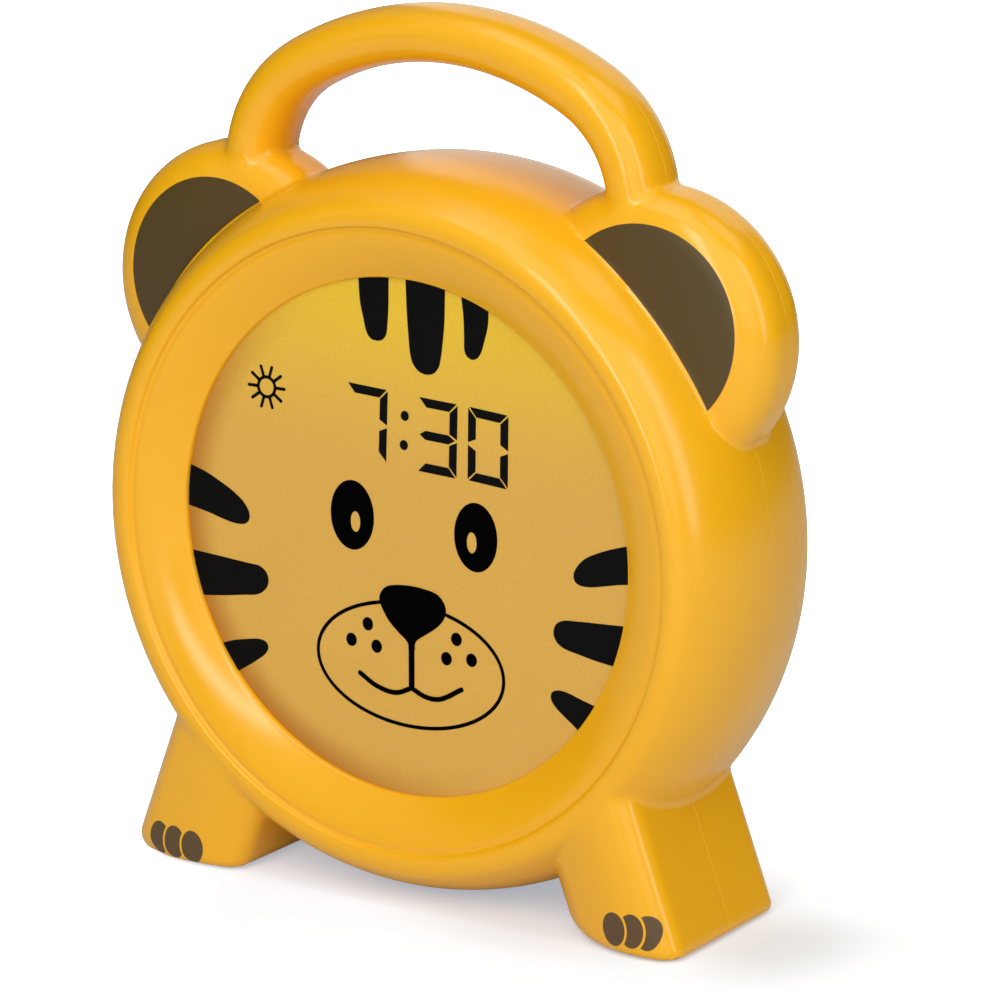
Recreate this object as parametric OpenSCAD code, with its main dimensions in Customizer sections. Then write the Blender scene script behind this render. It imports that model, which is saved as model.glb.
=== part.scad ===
// Kids alarm clock with night light: a round tiger head with ears, two feet and a carrying handle.
// Two half shells meet on a seam plane. Millimetres, +Z up, front towards -Y, origin on the ground
// at the centre of the footprint. Every piece is drawn in the face frame: X to the right, Y up from
// the body's centre and Z forward from the seam, and placed() stands it up.

/* [Body] */
// Radius of the round body at the seam
body_r = 88; // [86:0.5:90]
// Gap between the body and the ground
under_gap = 0.4; // [0.3:0.1:2]
// Wall thickness of both shells
wall = 2.2; // [1.8:0.1:2.4]
// How far the front side curves inwards, measured along the radius
side_in = 16; // [14:0.5:17]
// Forward reach of the ellipse that the front side follows
side_reach = 30; // [28:0.5:31]
// Where the side's ellipse hands over to the bezel roll, degrees
side_turn = 58; // [54:1:60]
// How far the rear side curves inwards
back_in = 6.5; // [5:0.5:8]
// Depth of the rear shell behind the seam
back_depth = 25.4; // [25:0.2:27]

/* [Bezel and window] */
// Radius of the bezel's rounded front roll
roll_r = 5; // [4.6:0.1:5.4]
// Distance from the body's edge in to the crease between the roll and the sloping ring
groove_in = 13.2; // [12.8:0.1:14]
// Depth of the crease below the roll's crest
groove_drop = 1; // [0.6:0.1:1.4]
// Width of the sloping ring between the crease and the window
slope_w = 12.8; // [12:0.1:14]
// How far the window's edge stands forward of the seam
window_t = 20.4; // [20.2:0.1:21]
// Bulge of the sloping ring above a straight cone
ring_bulge = 1; // [0.6:0.1:1.4]
// How far the face panel sits behind the window's edge
panel_set_back = 1; // [0.8:0.1:1.2]
// How far the face panel reaches under the window's edge
panel_lap = 4; // [3.5:0.1:4.3]
// Thickness of the face panel
panel_t = 2; // [1.5:0.1:2.2]
// Thickness of the collar round the panel's pocket
collar_w = 1.8; // [1.6:0.1:2]
// Thickness of the foam gasket behind the panel
gasket_t = 0.6; // [0.4:0.1:0.8]
// Width of the foam gasket
gasket_w = 2.4; // [2:0.1:3]

/* [Ears] */
// Distance from the body's edge in to each ear's centre
ear_in = 10.7; // [9:0.1:13]
// Angle of each ear above the horizontal, degrees
ear_turn = 42.48; // [40:0.5:46]
// Radius of each ear
ear_r = 34.4; // [33:0.2:36]
// Half thickness of each ear where its face meets its rounded edge
ear_half = 11.9; // [11.5:0.1:12.4]
// Radius of each ear's rounded edge
ear_edge_r = 9.6; // [9:0.1:10]
// Slope of the domed face where it meets the edge, degrees
ear_dome = 8; // [5:0.5:9]

/* [Handle] */
// Half width of the arch, to the middle of the grip
handle_half_w = 53.2; // [51:0.2:55]
// How far below the body's top the arch springs
handle_drop = 7; // [6:0.2:9]
// Rise of the arch above its springing
handle_rise = 35.5; // [33:0.5:37]
// Radius of the arch's two shoulders
shoulder_r = 29; // [27.5:0.5:29.5]
// Half thickness of the grip along the arch's radius
grip_half_r = 6.8; // [6.4:0.1:7.2]
// Half depth of the grip from front to back
grip_half_t = 10.4; // [10:0.1:10.8]
// How far each leg of the handle runs down into its ear
handle_leg = 12; // [10:1:14]

/* [Feet] */
// Outer edge of each foot at the ground
foot_out_x = 79.4; // [78:0.2:81]
// Inner edge of each foot at the ground
foot_in_x = 46.6; // [45:0.2:48]
// Outward lean of each foot, degrees
foot_lean = 21.5; // [20:0.5:23]
// How far the feet reach in front of the seam
foot_front = 24.6; // [23:0.2:26]
// How far the feet reach behind the seam
foot_back = 17; // [15:0.2:18]
// Rounding of the front inner edge of each foot
foot_round_in = 9; // [7:0.5:10]
// Rounding of the front outer edge of each foot
foot_round_out = 4.5; // [4:0.5:5]
// Rounding of the rear edges and of the sole's edges
foot_round_sole = 3.2; // [3:0.2:4]
// Radius of each rubber pad under the feet
pad_r = 4.5; // [4:0.1:5]
// Thickness of each pad
pad_t = 1.4; // [1.2:0.1:1.6]
// How far the pads stand out of the soles
pad_proud = 0.4; // [0.3:0.1:0.6]

/* [Shell joint] */
// Depth of the locating tongue that crosses the seam
tongue_t = 1.6; // [1.2:0.1:2]
// Thickness of the locating tongue
tongue_w = 0.9; // [0.8:0.1:1]
// Stretches of the tongue: start and sweep, degrees
tongue_arcs = [[-34, 48], [71, 38], [166, 48], [247, 46]];
// Angles of the shell screws round the body, degrees
shell_screw_turns = [8, 90, 172, 228, 312];
// Distance from the body's edge in to the shell screws
shell_screw_in = 9.5; // [9:0.1:10]
// Radius of the front shell's screw bosses
shell_boss_r = 3.8; // [3.4:0.1:4]
// Radius of the rear shell's screw towers
shell_tower_r = 4.4; // [4.2:0.1:4.6]
// Depth of the screw wells in the rear face
shell_well = 12; // [10:0.5:14]

/* [Light unit] */
// Wall thickness of the light box
box_wall = 2; // [1.6:0.1:2.2]
// How far the light box's back plate stands forward of the seam
box_back = 3; // [2.5:0.1:3.5]
// Thickness of the light box's back plate
box_plate = 1.5; // [1.2:0.1:1.8]
// Thickness of the diffuser sheet
diffuser_t = 1; // [0.8:0.1:1.2]
// Distance from the light box's rim out to its screws
lug_out = 6; // [5.6:0.1:6.5]
// Angles of the light box's screws, degrees
lug_turns = [45, 135, 200, 270, 340];
// Radius of the light box's screw lugs
lug_r = 3.4; // [3.2:0.1:3.6]
// Thickness of the light box's screw lugs
lug_t = 2.4; // [2:0.1:2.8]
// Width of the display glass
lcd_w = 78; // [74:1:79]
// Height of the display glass
lcd_h = 30; // [28:0.5:31]
// Thickness of the display glass
lcd_t = 2.2; // [1.8:0.1:2.4]
// Sideways place of the display's centre
lcd_x = -5; // [-6:0.5:-4]
// Height of the display's centre above the body's centre
lcd_up = 25.5; // [25:0.5:26.5]
// Width of the plastic frame round the display
lcd_rim = 2.4; // [2:0.1:2.6]
// Radius of the lamp board
lamp_board_r = 52; // [48:1:54]
// Number of lamps on the outer ring
lamp_count = 10; // [8:1:12]
// Radius of the ring of lamps
lamp_ring_r = 42; // [38:1:44]
// Width of each lamp
lamp_w = 3.4; // [3:0.1:3.6]
// Height of each lamp above its board
lamp_t = 2.2; // [1.8:0.1:2.4]

/* [Boards] */
// Thickness of the circuit boards
board_t = 1.6; // [1.2:0.1:1.8]
// Width of the main board
main_w = 104; // [100:1:106]
// Height of the main board
main_h = 48; // [46:1:50]
// Height of the main board's centre above the body's centre
main_up = 33; // [32:0.5:34]
// Distance from the rear shell's inner face to the main board
main_off = 9; // [8.8:0.1:9.4]

/* [Keys] */
// Radius of each key
key_r = 6.5; // [6:0.1:7]
// Sideways pitch of the keys
key_pitch_x = 22; // [20:0.5:24]
// Vertical pitch of the two rows of keys
key_pitch_up = 20; // [18:0.5:21]
// Sideways place of the middle column of keys
key_mid_x = -10; // [-12:0.5:-8]
// How far a key travels when it is pressed
key_travel = 0.8; // [0.6:0.1:0.9]
// How far the keys stand out of the control panel's floor
key_proud = 0.9; // [0.7:0.1:1]
// Width of the flange that keeps each key in its hole
key_flange = 1.2; // [1:0.1:1.4]
// Depth of the control panel's recess
panel_dip = 1.2; // [1:0.1:1.3]
// Width of the control panel's recess
controls_w = 96; // [92:1:98]
// Height of the control panel's recess
controls_h = 44; // [42:1:46]
// Width of each key switch's housing
switch_w = 6; // [5.6:0.1:6.4]
// Height of each key switch's housing
switch_t = 3.5; // [3.2:0.1:3.8]
// Radius of each key switch's plunger
plunger_r = 1.7; // [1.5:0.1:1.8]

/* [Power switch] */
// Sideways place of the power switch
slider_x = 33; // [31:0.5:35]
// Travel of the power switch
slider_travel = 3; // [2.5:0.1:3.2]
// Length of the power switch's grip
slider_l = 5; // [4.5:0.1:5.5]
// Width of the power switch's grip
slider_w = 4; // [3.6:0.1:4.4]

/* [Speaker] */
// Radius of the speaker
speaker_r = 18; // [17:0.5:18.5]
// Distance from the body's side in to the speaker's centre
speaker_in = 32; // [31:0.5:33]
// Height of the speaker above the body's centre
speaker_up = -18; // [-20:0.5:-17]
// Radius of each hole of the speaker grille
grille_hole_r = 1.2; // [1:0.1:1.4]
// Pitch of the rings of grille holes
grille_pitch = 4.6; // [4.2:0.1:4.8]

/* [Power inlet] */
// Distance from the body's side in to the power inlet
inlet_in = 30; // [28:0.5:32]
// Height of the power inlet above the body's centre
inlet_up = -20; // [-22:0.5:-18]
// Width of the recess round the power inlet
inlet_w = 14; // [13:0.5:15]
// Height of the recess round the power inlet
inlet_h = 8; // [7.5:0.5:9]
// Depth of the recess round the power inlet
inlet_dip = 4.5; // [4.2:0.1:5]
// Width of the metal socket
socket_w = 8.9; // [8.7:0.1:9.2]
// Height of the metal socket
socket_h = 3.2; // [3.1:0.1:3.4]
// Depth of the metal socket
socket_l = 7; // [6.6:0.1:7.4]

/* [Batteries] */
// Radius of one cell
cell_r = 7.25; // [7:0.05:7.3]
// Length of one cell without its button
cell_l = 49.5; // [48:0.5:50]
// Number of cells
cell_count = 3; // [2:1:3]
// Pitch between cells
cell_pitch = 15; // [14.8:0.1:15.2]
// Height of the middle cell above the body's centre
bay_up = -47; // [-48:0.5:-46]
// Wall thickness of the battery bay
bay_wall = 2.4; // [2:0.1:2.6]
// Room for the spring at the flat end of each cell
spring_l = 5.5; // [5:0.1:6]
// Coil radius of a contact spring at its wide end
spring_r = 4.4; // [4:0.1:4.8]
// Height of the strip of the battery bay that holds the door's screw
door_strip = 9; // [8.6:0.1:10]

/* [Fasteners] */
// Radius of the screws' threads
screw_r = 1.4; // [1.3:0.05:1.5]
// Radius of the screws' heads
head_r = 2.6; // [2.4:0.1:2.8]
// Height of the screws' heads
head_t = 1.8; // [1.6:0.1:2]
// Width of the cross recess in each head
cross_w = 0.7; // [0.6:0.1:0.8]

/* [Wires] */
// Radius of the insulated wires inside
wire_r = 0.7; // [0.6:0.05:0.8]

/* [Clearances] */
// Gap between fixed pieces that fit together
fit_gap = 0.2; // [0.15:0.05:0.3]
// Gap round pieces that move
key_gap = 0.25; // [0.2:0.05:0.35]
// Gap between a screw or a plunger and its hole
slip_gap = 0.06; // [0.04:0.01:0.1]

/* [Hidden] */
$fn = 96;

BODY_COLOR = "#f2ae22";
TRIM_COLOR = "#5f4c30";
WHITE_COLOR = "#f4f2ea";
BOARD_COLOR = "#1f6b3a";
STEEL_COLOR = "#c9ccd0";
BLACK_COLOR = "#26262a";

far = 200;

// Body outline, worked out from the driving sizes
body_up = body_r + under_gap;
side_c = body_r - side_in;
turn_r = side_c + side_in * cos(side_turn);
turn_t = side_reach * sin(side_turn);
turn_normal = atan2(side_in * sin(side_turn), side_reach * cos(side_turn));
roll_c = [turn_r - roll_r * cos(turn_normal), turn_t - roll_r * sin(turn_normal)];
front_depth = roll_c[1] + roll_r;
groove_r = body_r - groove_in;
groove_t = front_depth - groove_drop;
window_r = groove_r - slope_w;
panel_r = window_r + panel_lap;
roll_end = 180 - acos(min(0.9, max(0.1, (roll_c[0] - groove_r) / roll_r)));
shell_screw_at = body_r - shell_screw_in;
seat_t = window_t - panel_set_back;
pocket_r = panel_r + fit_gap;
collar_r = pocket_r + collar_w;
seam_y = (front_depth - back_depth) / 2;
back_in_t = -(back_depth - wall);
ground = -body_up;

// Ear place and outline
ear_x = (body_r - ear_in) * cos(ear_turn);
ear_up = (body_r - ear_in) * sin(ear_turn);
ear_c_r = ear_r - ear_edge_r;
ear_c_t = ear_half - ear_edge_r;
ear_dome_r = ear_edge_r + ear_c_r / sin(ear_dome);
ear_dome_t = ear_c_t - ear_c_r / tan(ear_dome);

// Handle arch: two shoulders and a flatter crown, tangent to each other
handle_up = body_r - handle_drop;
shoulder_x = handle_half_w - shoulder_r;
crown_r = (pow(shoulder_x, 2) + pow(handle_rise, 2) - pow(shoulder_r, 2))
    / (2 * (handle_rise - shoulder_r));
shoulder_turn = atan2(crown_r - handle_rise, shoulder_x);

// The crown and the legs are a hair thinner than the shoulders and run a little way into them
grip_step = 0.06;
lap_turn = 1;
lap_l = 0.5;

// Feet
sole = ground + pad_proud;
foot_height = 62;
foot_root_r = body_r - 9;
foot_mid_x = (foot_out_x + foot_in_x) / 2;
foot_half_w = (foot_out_x - foot_in_x) / 2 * cos(foot_lean);
front_pad_t = foot_front / 2 + 1;
rear_pad_t = -foot_back / 2;

// Depths of the light unit, counted forward from the seam
panel_back = seat_t - panel_t;
box_front = panel_back - gasket_t;
box_r = panel_r;
box_in_r = box_r - box_wall;
lug_at = box_r + lug_out;
lcd_back = panel_back - lcd_t;
frame_lip = 1;
diffuser_front = lcd_back - frame_lip - fit_gap;
diffuser_back = diffuser_front - diffuser_t;
lug_front = box_front - 2.2;
ribbon_w = 30;
ribbon_t = 0.3;
ribbon_up = lcd_up - lcd_h / 2 - lcd_rim - 0.9;
ribbon_slot = 1.6;

// Depths of the rear pieces, counted forward from the seam, so they are negative
main_back = back_in_t + main_off;
main_front = main_back + board_t;
dip_t = -(back_depth - panel_dip);
dip_in_t = dip_t + wall - 0.2;
key_face = dip_t - key_proud;
flange_back = dip_in_t + fit_gap;
flange_t = 1;
plunger_face = main_back - switch_t - key_travel - 0.4;
controls_up = main_up;
slider_up = controls_up;

// Fastener depths
shell_pilot = 12;
shell_screw_l = back_depth - shell_well + shell_pilot - 1;
lug_pilot = 7;
door_screw_l = 9;

// Speaker and power inlet
speaker_x = body_r - speaker_in;
inlet_x = inlet_in - body_r;
speaker_flange = 1.5;
speaker_deep = 6;
inlet_floor = -(back_depth - inlet_dip);
socket_back = inlet_floor + 0.4 + socket_l;
lever_w = 1.6;

// Ribbon
ribbon_end = main_front + 1.6;
connector_up = main_up - main_h / 2 + 1;
tongue_root = 1.2;

// Battery bay
tag_up = cell_pitch;
tag_w = 3;
plate_t = 0.4;
cell_button = 1;
door_t = 2;
door_seat = -(back_depth - door_t) + fit_gap / 2;
bay_l = cell_l + cell_button + spring_l + 2 * plate_t;
bay_h = cell_pitch * (cell_count - 1) + 2 * cell_r + 0.4;
cell_t = back_in_t + cell_r + 0.6;
bay_floor = cell_t + cell_r + 0.3;
bay_roof = bay_floor + bay_wall;
tag_top = bay_roof + 2.3;
door_up = bay_up + door_strip / 2;
door_w = bay_l + bay_wall;
door_h = bay_h + bay_wall + door_strip;
door_screw_up = door_up + door_h / 2 - door_strip / 2 - 0.6;
door_boss_r = head_r + 1.2;
door_boss_t = 1.4;
door_rib_t = 1.2;

// Wire routes in the face frame. Each ends on the main board, a hair above it
touch_gap = 0.1;
board_foot = main_up - main_h / 2;
land_t = main_front + touch_gap;
bay_edge = bay_up + bay_h / 2 + bay_wall;
tag_x = bay_l / 2 - plate_t / 2;
over_bay_t = bay_roof + wire_r + touch_gap;
battery_route = [
    [tag_x, bay_up + tag_up + tag_w / 2 + touch_gap, over_bay_t],
    [tag_x, bay_up + tag_up + tag_w + 2, over_bay_t],
    [tag_x - 1.2, bay_edge + 2.2, over_bay_t],
    [tag_x - 2.7, board_foot - 17, land_t + 5.5],
    [tag_x - 3.2, board_foot - 3, land_t + 5],
    [tag_x - 3.2, board_foot + 4, land_t + 4.5],
    [tag_x - 3.2, board_foot + 6, land_t + 3],
    [tag_x - 3.2, board_foot + 6, land_t]
];
cone_t = back_in_t + speaker_flange + touch_gap;
speaker_route = [
    [speaker_x - 2.9, speaker_up + speaker_r - 1.5, cone_t],
    [speaker_x - 2.9, speaker_up + speaker_r - 1.5, cone_t + 3.6],
    [speaker_x - 6, board_foot - 6, land_t + 1],
    [speaker_x - 10, board_foot, land_t + 4],
    [speaker_x - 13, board_foot + 4, land_t + 3],
    [speaker_x - 13, board_foot + 4, land_t]
];
lamp_x = -34;
lamp_back = box_back - board_t - touch_gap;
lamp_route = [
    [lamp_x, board_foot - 7, lamp_back],
    [lamp_x, board_foot - 7, lamp_back - 2.8],
    [lamp_x, board_foot - 3, land_t + 7.5],
    [lamp_x - 1, board_foot + 4, land_t + 5.5],
    [lamp_x - 1, board_foot + 6, land_t + 3],
    [lamp_x - 1, board_foot + 6, land_t]
];
inlet_front = socket_back + board_t + touch_gap;
inlet_route = [
    [inlet_x + 4, inlet_up + 5, inlet_front],
    [inlet_x + 4, inlet_up + 5, inlet_front + 2.3],
    [inlet_x + 7, inlet_up + 14, land_t + 5],
    [inlet_x + 13, board_foot - 3, land_t + 5],
    [inlet_x + 16, board_foot + 4, land_t + 3],
    [inlet_x + 16, board_foot + 4, land_t]
];

// ---------------------------------------------------------------- helpers

// Points of an elliptical arc
function arc(c, rx, ry, from, to, n) =
    [for (i = [0:n]) let (a = from + (to - from) * i / n) [c[0] + rx * cos(a), c[1] + ry * sin(a)]];

// Position on a circle round the body's centre
function on_circle(r, turn) = [r * cos(turn), r * sin(turn), 0];

// Unit vector
function unit(v) = v / norm(v);

// Outline of a convex polygon, anticlockwise, with each corner rounded by its own radius
function rounded(points, radii, n = 6) = [
    for (i = [0:len(points) - 1])
        let (
            p = points[i],
            to_last = unit(points[(i + len(points) - 1) % len(points)] - p),
            to_next = unit(points[(i + 1) % len(points)] - p),
            half = acos(to_last * to_next) / 2,
            c = p + unit(to_last + to_next) * radii[i] / sin(half),
            start = atan2(to_last[0], -to_last[1])
        )
        for (k = [0:n])
            let (a = start + (180 - 2 * half) * k / n) [c[0] + radii[i] * cos(a), c[1] + radii[i] * sin(a)]
];

// Corners of a box centred on the origin
function box_corners(w, h) = [[-w / 2, -h / 2], [w / 2, -h / 2], [w / 2, h / 2], [-w / 2, h / 2]];

// Stands the face frame up in the part's own frame
module placed() translate([0, seam_y, body_up]) rotate([90, 0, 0]) children();

// A disc between two depths
module disc(r, from, to) translate([0, 0, from]) cylinder(r = r, h = to - from);

// A ring between two depths
module ring(r, r_in, from, to) {
    difference() {
        disc(r, from, to);
        disc(r_in, from - 1, to + 1);
    }
}

// A block of width w and height h between two depths
module block(w, h, from, to) translate([-w / 2, -h / 2, from]) cube([w, h, to - from]);

// A block with rounded corners between two depths
module soft_block(w, h, r, from, to) {
    translate([0, 0, from])
        linear_extrude(to - from)
            polygon(rounded(box_corners(w, h), [r, r, r, r]));
}

// Everything in front of the seam
module front_half() translate([-far, -far, 0]) cube([2 * far, 2 * far, far]);

// Everything behind the seam
module rear_half() translate([-far, -far, -far]) cube([2 * far, 2 * far, far]);

// A cross-head screw that points forward, its head's underside at z = 0
module screw(length) {
    difference() {
        translate([0, 0, -head_t])
            cylinder(r = head_r, h = head_t);
        for (turn = [0, 90])
            rotate([0, 0, turn])
                translate([-head_r * 0.6, -cross_w / 2, -head_t - 1])
                    cube([head_r * 1.2, cross_w, 1.9]);
    }
    cylinder(r = screw_r, h = length);
}

// The hole for a screw's thread
module screw_hole(from, to) disc(screw_r + slip_gap, from, to);

// A round tube swept along a route
module wire(route, r, sides = 8) {
    count = len(route);
    tangents = [for (i = [0:count - 1]) unit(route[min(i + 1, count - 1)] - route[max(i - 1, 0)])];
    rings = [
        for (i = [0:count - 1])
            let (
                side_a = unit(cross(tangents[i], [0.31, 0.17, 0.93])),
                side_b = cross(tangents[i], side_a)
            )
            for (k = [0:sides - 1])
                route[i] + r * (cos(360 * k / sides) * side_a + sin(360 * k / sides) * side_b)
    ];
    faces = concat(
        [[for (k = [0:sides - 1]) k]],
        [[for (k = [0:sides - 1]) (count - 1) * sides + sides - 1 - k]],
        [
            for (i = [0:count - 2])
                for (k = [0:sides - 1])
                    for (tip = [(i + 1) * sides + k, (i + 1) * sides + (k + 1) % sides])
                        let (next = (k + 1) % sides)
                        tip == (i + 1) * sides + k
                            ? [i * sides + k, tip, (i + 1) * sides + next]
                            : [i * sides + k, tip, i * sides + next]
        ]
    );
    polyhedron(rings, faces);
}

// ---------------------------------------------------------------- outer form

// Front outline of the body, pulled in by a skin thickness
function ring_line(inset) = [
    for (i = [0:6])
        let (s = i / 6, r = groove_r + (window_r - groove_r) * s)
        [r, groove_t + (window_t - groove_t) * s + ring_bulge * 4 * s * (1 - s) - inset]
];
function front_outline(inset) = concat(
    [[0, 0]],
    arc([side_c, 0], side_in - inset, side_reach - inset, 0, side_turn, 10),
    arc(roll_c, roll_r - inset, roll_r - inset, turn_normal + 8, roll_end, 6),
    ring_line(inset),
    [[0, window_t - inset]]
);

// The solid front of the body
module front_form(inset = 0) rotate_extrude() polygon(front_outline(inset));

// The solid rear of the body
module rear_form(inset = 0) {
    rotate_extrude()
        polygon(concat(
            [[0, 0], [0, -(back_depth - inset)]],
            arc([body_r - back_in, 0], back_in - inset, back_depth - inset, -90, 0, 10)
        ));
}

// The room inside the front shell, with the panel's pocket and the window opening
module front_room() {
    rotate_extrude()
        polygon(concat(
            [[0, -1], [body_r - wall, -1]],
            arc([side_c, 0], side_in - wall, side_reach - wall, 0, side_turn, 10),
            arc(roll_c, roll_r - wall, roll_r - wall, turn_normal + 8, 90, 3),
            [
                [groove_r, groove_t - wall],
                [collar_r, groove_t - wall - 1.6],
                [collar_r, panel_back - 0.8],
                [pocket_r, panel_back - 0.8],
                [pocket_r, seat_t],
                [window_r, seat_t],
                [window_r, far],
                [0, far]
            ]
        ));
}

// The room inside the rear shell
module rear_room() {
    rotate_extrude()
        polygon(concat(
            [[0, 1], [0, back_in_t]],
            arc([body_r - back_in, 0], back_in - wall, back_depth - wall, -90, 0, 10),
            [[body_r - wall, 1]]
        ));
}

// One ear, or the room inside it
module ear(inset = 0) {
    edge_r = ear_edge_r - inset;
    dome_r = ear_dome_r - inset;
    side = concat(
        [for (i = [0:3]) let (a = 4 * i * ear_dome / 16) [dome_r * sin(a), ear_dome_t + dome_r * cos(a)]],
        [for (i = [0:8]) let (a = (90 - ear_dome) * (1 - i / 8)) [ear_c_r + edge_r * cos(a), ear_c_t + edge_r * sin(a)]]
    );
    last = len(side) - 1;
    rotate_extrude()
        polygon(concat(side, [for (i = [last:-1:0]) [side[i][0], -side[i][1]]]));
}

// Both ears
module ears(inset = 0) {
    for (side = [-1, 1])
        translate([side * ear_x, ear_up, 0])
            ear(inset);
}

// Cross-section of the handle's grip
module grip(inset) {
    power = 0.86;
    polygon([
        for (i = [0:23])
            let (a = 15 * (i + 0.5))
            [
                (grip_half_r - inset) * sign(cos(a)) * pow(abs(cos(a)), power),
                (grip_half_t - inset) * sign(sin(a)) * pow(abs(sin(a)), power)
            ]
    ]);
}

// The carrying handle, or the room inside it
module handle(inset = 0) {
    translate([0, handle_up, 0]) {
        translate([0, handle_rise - crown_r, 0])
            rotate([0, 0, shoulder_turn - lap_turn])
                rotate_extrude(angle = 180 - 2 * (shoulder_turn - lap_turn))
                    translate([crown_r, 0])
                        grip(inset + grip_step);
        for (side = [0, 1])
            mirror([side, 0, 0]) {
                translate([shoulder_x, 0, 0])
                    rotate_extrude(angle = shoulder_turn)
                        translate([shoulder_r, 0])
                            grip(inset);
                translate([handle_half_w, lap_l, 0])
                    rotate([90, 0, 0])
                        linear_extrude(handle_leg + lap_l)
                            grip(inset + grip_step);
            }
    }
}

// One foot, or the room inside it
module foot(inset = 0) {
    lean = tan(foot_lean);
    low = sole + inset;
    out_x = foot_out_x - inset / cos(foot_lean);
    in_x = foot_in_x + inset / cos(foot_lean);
    sole_r = foot_round_sole - min(inset, 2);
    intersection() {
        translate([foot_mid_x, sole, 0])
            rotate([0, 0, foot_lean])
                rotate([-90, 0, 0])
                    translate([0, 0, -foot_height / 2])
                        linear_extrude(foot_height * 1.5)
                            polygon(rounded(
                                [
                                    [-foot_half_w + inset, -foot_front + inset],
                                    [foot_half_w - inset, -foot_front + inset],
                                    [foot_half_w - inset, foot_back - inset],
                                    [-foot_half_w + inset, foot_back - inset]
                                ],
                                [foot_round_in - inset, foot_round_out - inset, sole_r, sole_r]
                            ));
        translate([0, 0, -far / 2])
            linear_extrude(far)
                polygon(rounded(
                    [
                        [in_x, low],
                        [out_x, low],
                        [out_x - lean * foot_height, low + foot_height],
                        [in_x - lean * foot_height, low + foot_height]
                    ],
                    [foot_round_in - inset, foot_round_sole + 1 - min(inset, 2), 1, 1]
                ));
        translate([far / 2, 0, 0])
            rotate([0, -90, 0])
                linear_extrude(far)
                    polygon(rounded(
                        [
                            [-foot_back + inset, low],
                            [foot_front - inset, low],
                            [foot_front - inset, low + foot_height],
                            [-foot_back + inset, low + foot_height]
                        ],
                        [sole_r, sole_r, 1, 1]
                    ));
    }
}

// Both feet, without the stretch inside the body
module feet(inset = 0) {
    difference() {
        for (side = [0, 1])
            mirror([side, 0, 0])
                foot(inset);
        disc(foot_root_r, -far, far);
    }
}

// What stands out of the round body: ears, handle and feet
module limbs(inset = 0) {
    ears(inset);
    handle(inset);
    feet(inset);
}

// ---------------------------------------------------------------- places

// At each shell screw
module at_shell_screws() {
    for (turn = shell_screw_turns)
        translate(on_circle(shell_screw_at, turn))
            children();
}

// At each light box lug
module at_lugs() {
    for (turn = lug_turns)
        translate(on_circle(lug_at, turn))
            children();
}

// At each rubber pad
module at_pads() {
    for (side = [-1, 1])
        for (depth = [front_pad_t, rear_pad_t])
            translate([side * foot_mid_x, ground, depth])
                rotate([-90, 0, 0])
                    children();
}

// At each lamp
module at_lamps() {
    for (i = [0:lamp_count - 1])
        translate(on_circle(lamp_ring_r, 18 + 360 * i / lamp_count))
            children();
    for (i = [0:3])
        translate(on_circle(18, 45 + 90 * i))
            children();
}

// At each screw of the lamp board
module at_lamp_screws() {
    for (turn = [90, 210, 330])
        translate(on_circle(lamp_board_r - 4, turn))
            children();
}

// At each screw of the main board
module at_main_screws() {
    for (x = [-1, 1])
        for (up = [-1, 1])
            translate([x * (main_w / 2 - 4), main_up + up * (main_h / 2 - 4), 0])
                children();
}

// At each screw of the inlet board
module at_inlet_screws() {
    for (side = [-1, 1])
        translate([inlet_x + side * (inlet_w / 2 + 2.8), inlet_up, 0])
            children();
}

// At each screw of the speaker
module at_speaker_screws() {
    for (turn = [90, 210, 330])
        translate([speaker_x, speaker_up, 0] + on_circle(speaker_r + 2.2, turn))
            children();
}

// At one key, counted along the upper row and then along the lower row
module at_key(i) {
    translate([key_mid_x + (i % 3 - 1) * key_pitch_x, main_up + (i < 3 ? 1 : -1) * key_pitch_up / 2, 0])
        children();
}

// At each cell, with +X towards its button
module at_cells() {
    for (i = [0:cell_count - 1])
        translate([0, bay_up + (i - (cell_count - 1) / 2) * cell_pitch, cell_t])
            mirror([i % 2, 0, 0])
                children();
}

// ---------------------------------------------------------------- shells

module tongue(r_in, r_out, from, to) {
    for (stretch = tongue_arcs)
        rotate([0, 0, stretch[0]])
            rotate_extrude(angle = stretch[1])
                translate([r_in, from])
                    square([r_out - r_in, to - from]);
}

module front_shell() {
    color(BODY_COLOR)
        placed() {
            difference() {
                union() {
                    difference() {
                        union() {
                            front_form();
                            intersection() {
                                limbs();
                                front_half();
                            }
                        }
                        front_room();
                        limbs(wall);
                    }
                    intersection() {
                        union() {
                            at_shell_screws()
                                disc(shell_boss_r, 0, far / 4);
                            at_lugs()
                                disc(lug_r, lug_front, far / 4);
                        }
                        front_form(1);
                    }
                }
                at_shell_screws()
                    screw_hole(-1, shell_pilot);
                at_lugs()
                    screw_hole(0, lug_front + lug_pilot);
                tongue(body_r - wall - 0.5, body_r - wall + tongue_w + slip_gap, -1, tongue_t + slip_gap);
                at_pads()
                    disc(pad_r + fit_gap, -1, pad_t);
            }
        }
}

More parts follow.
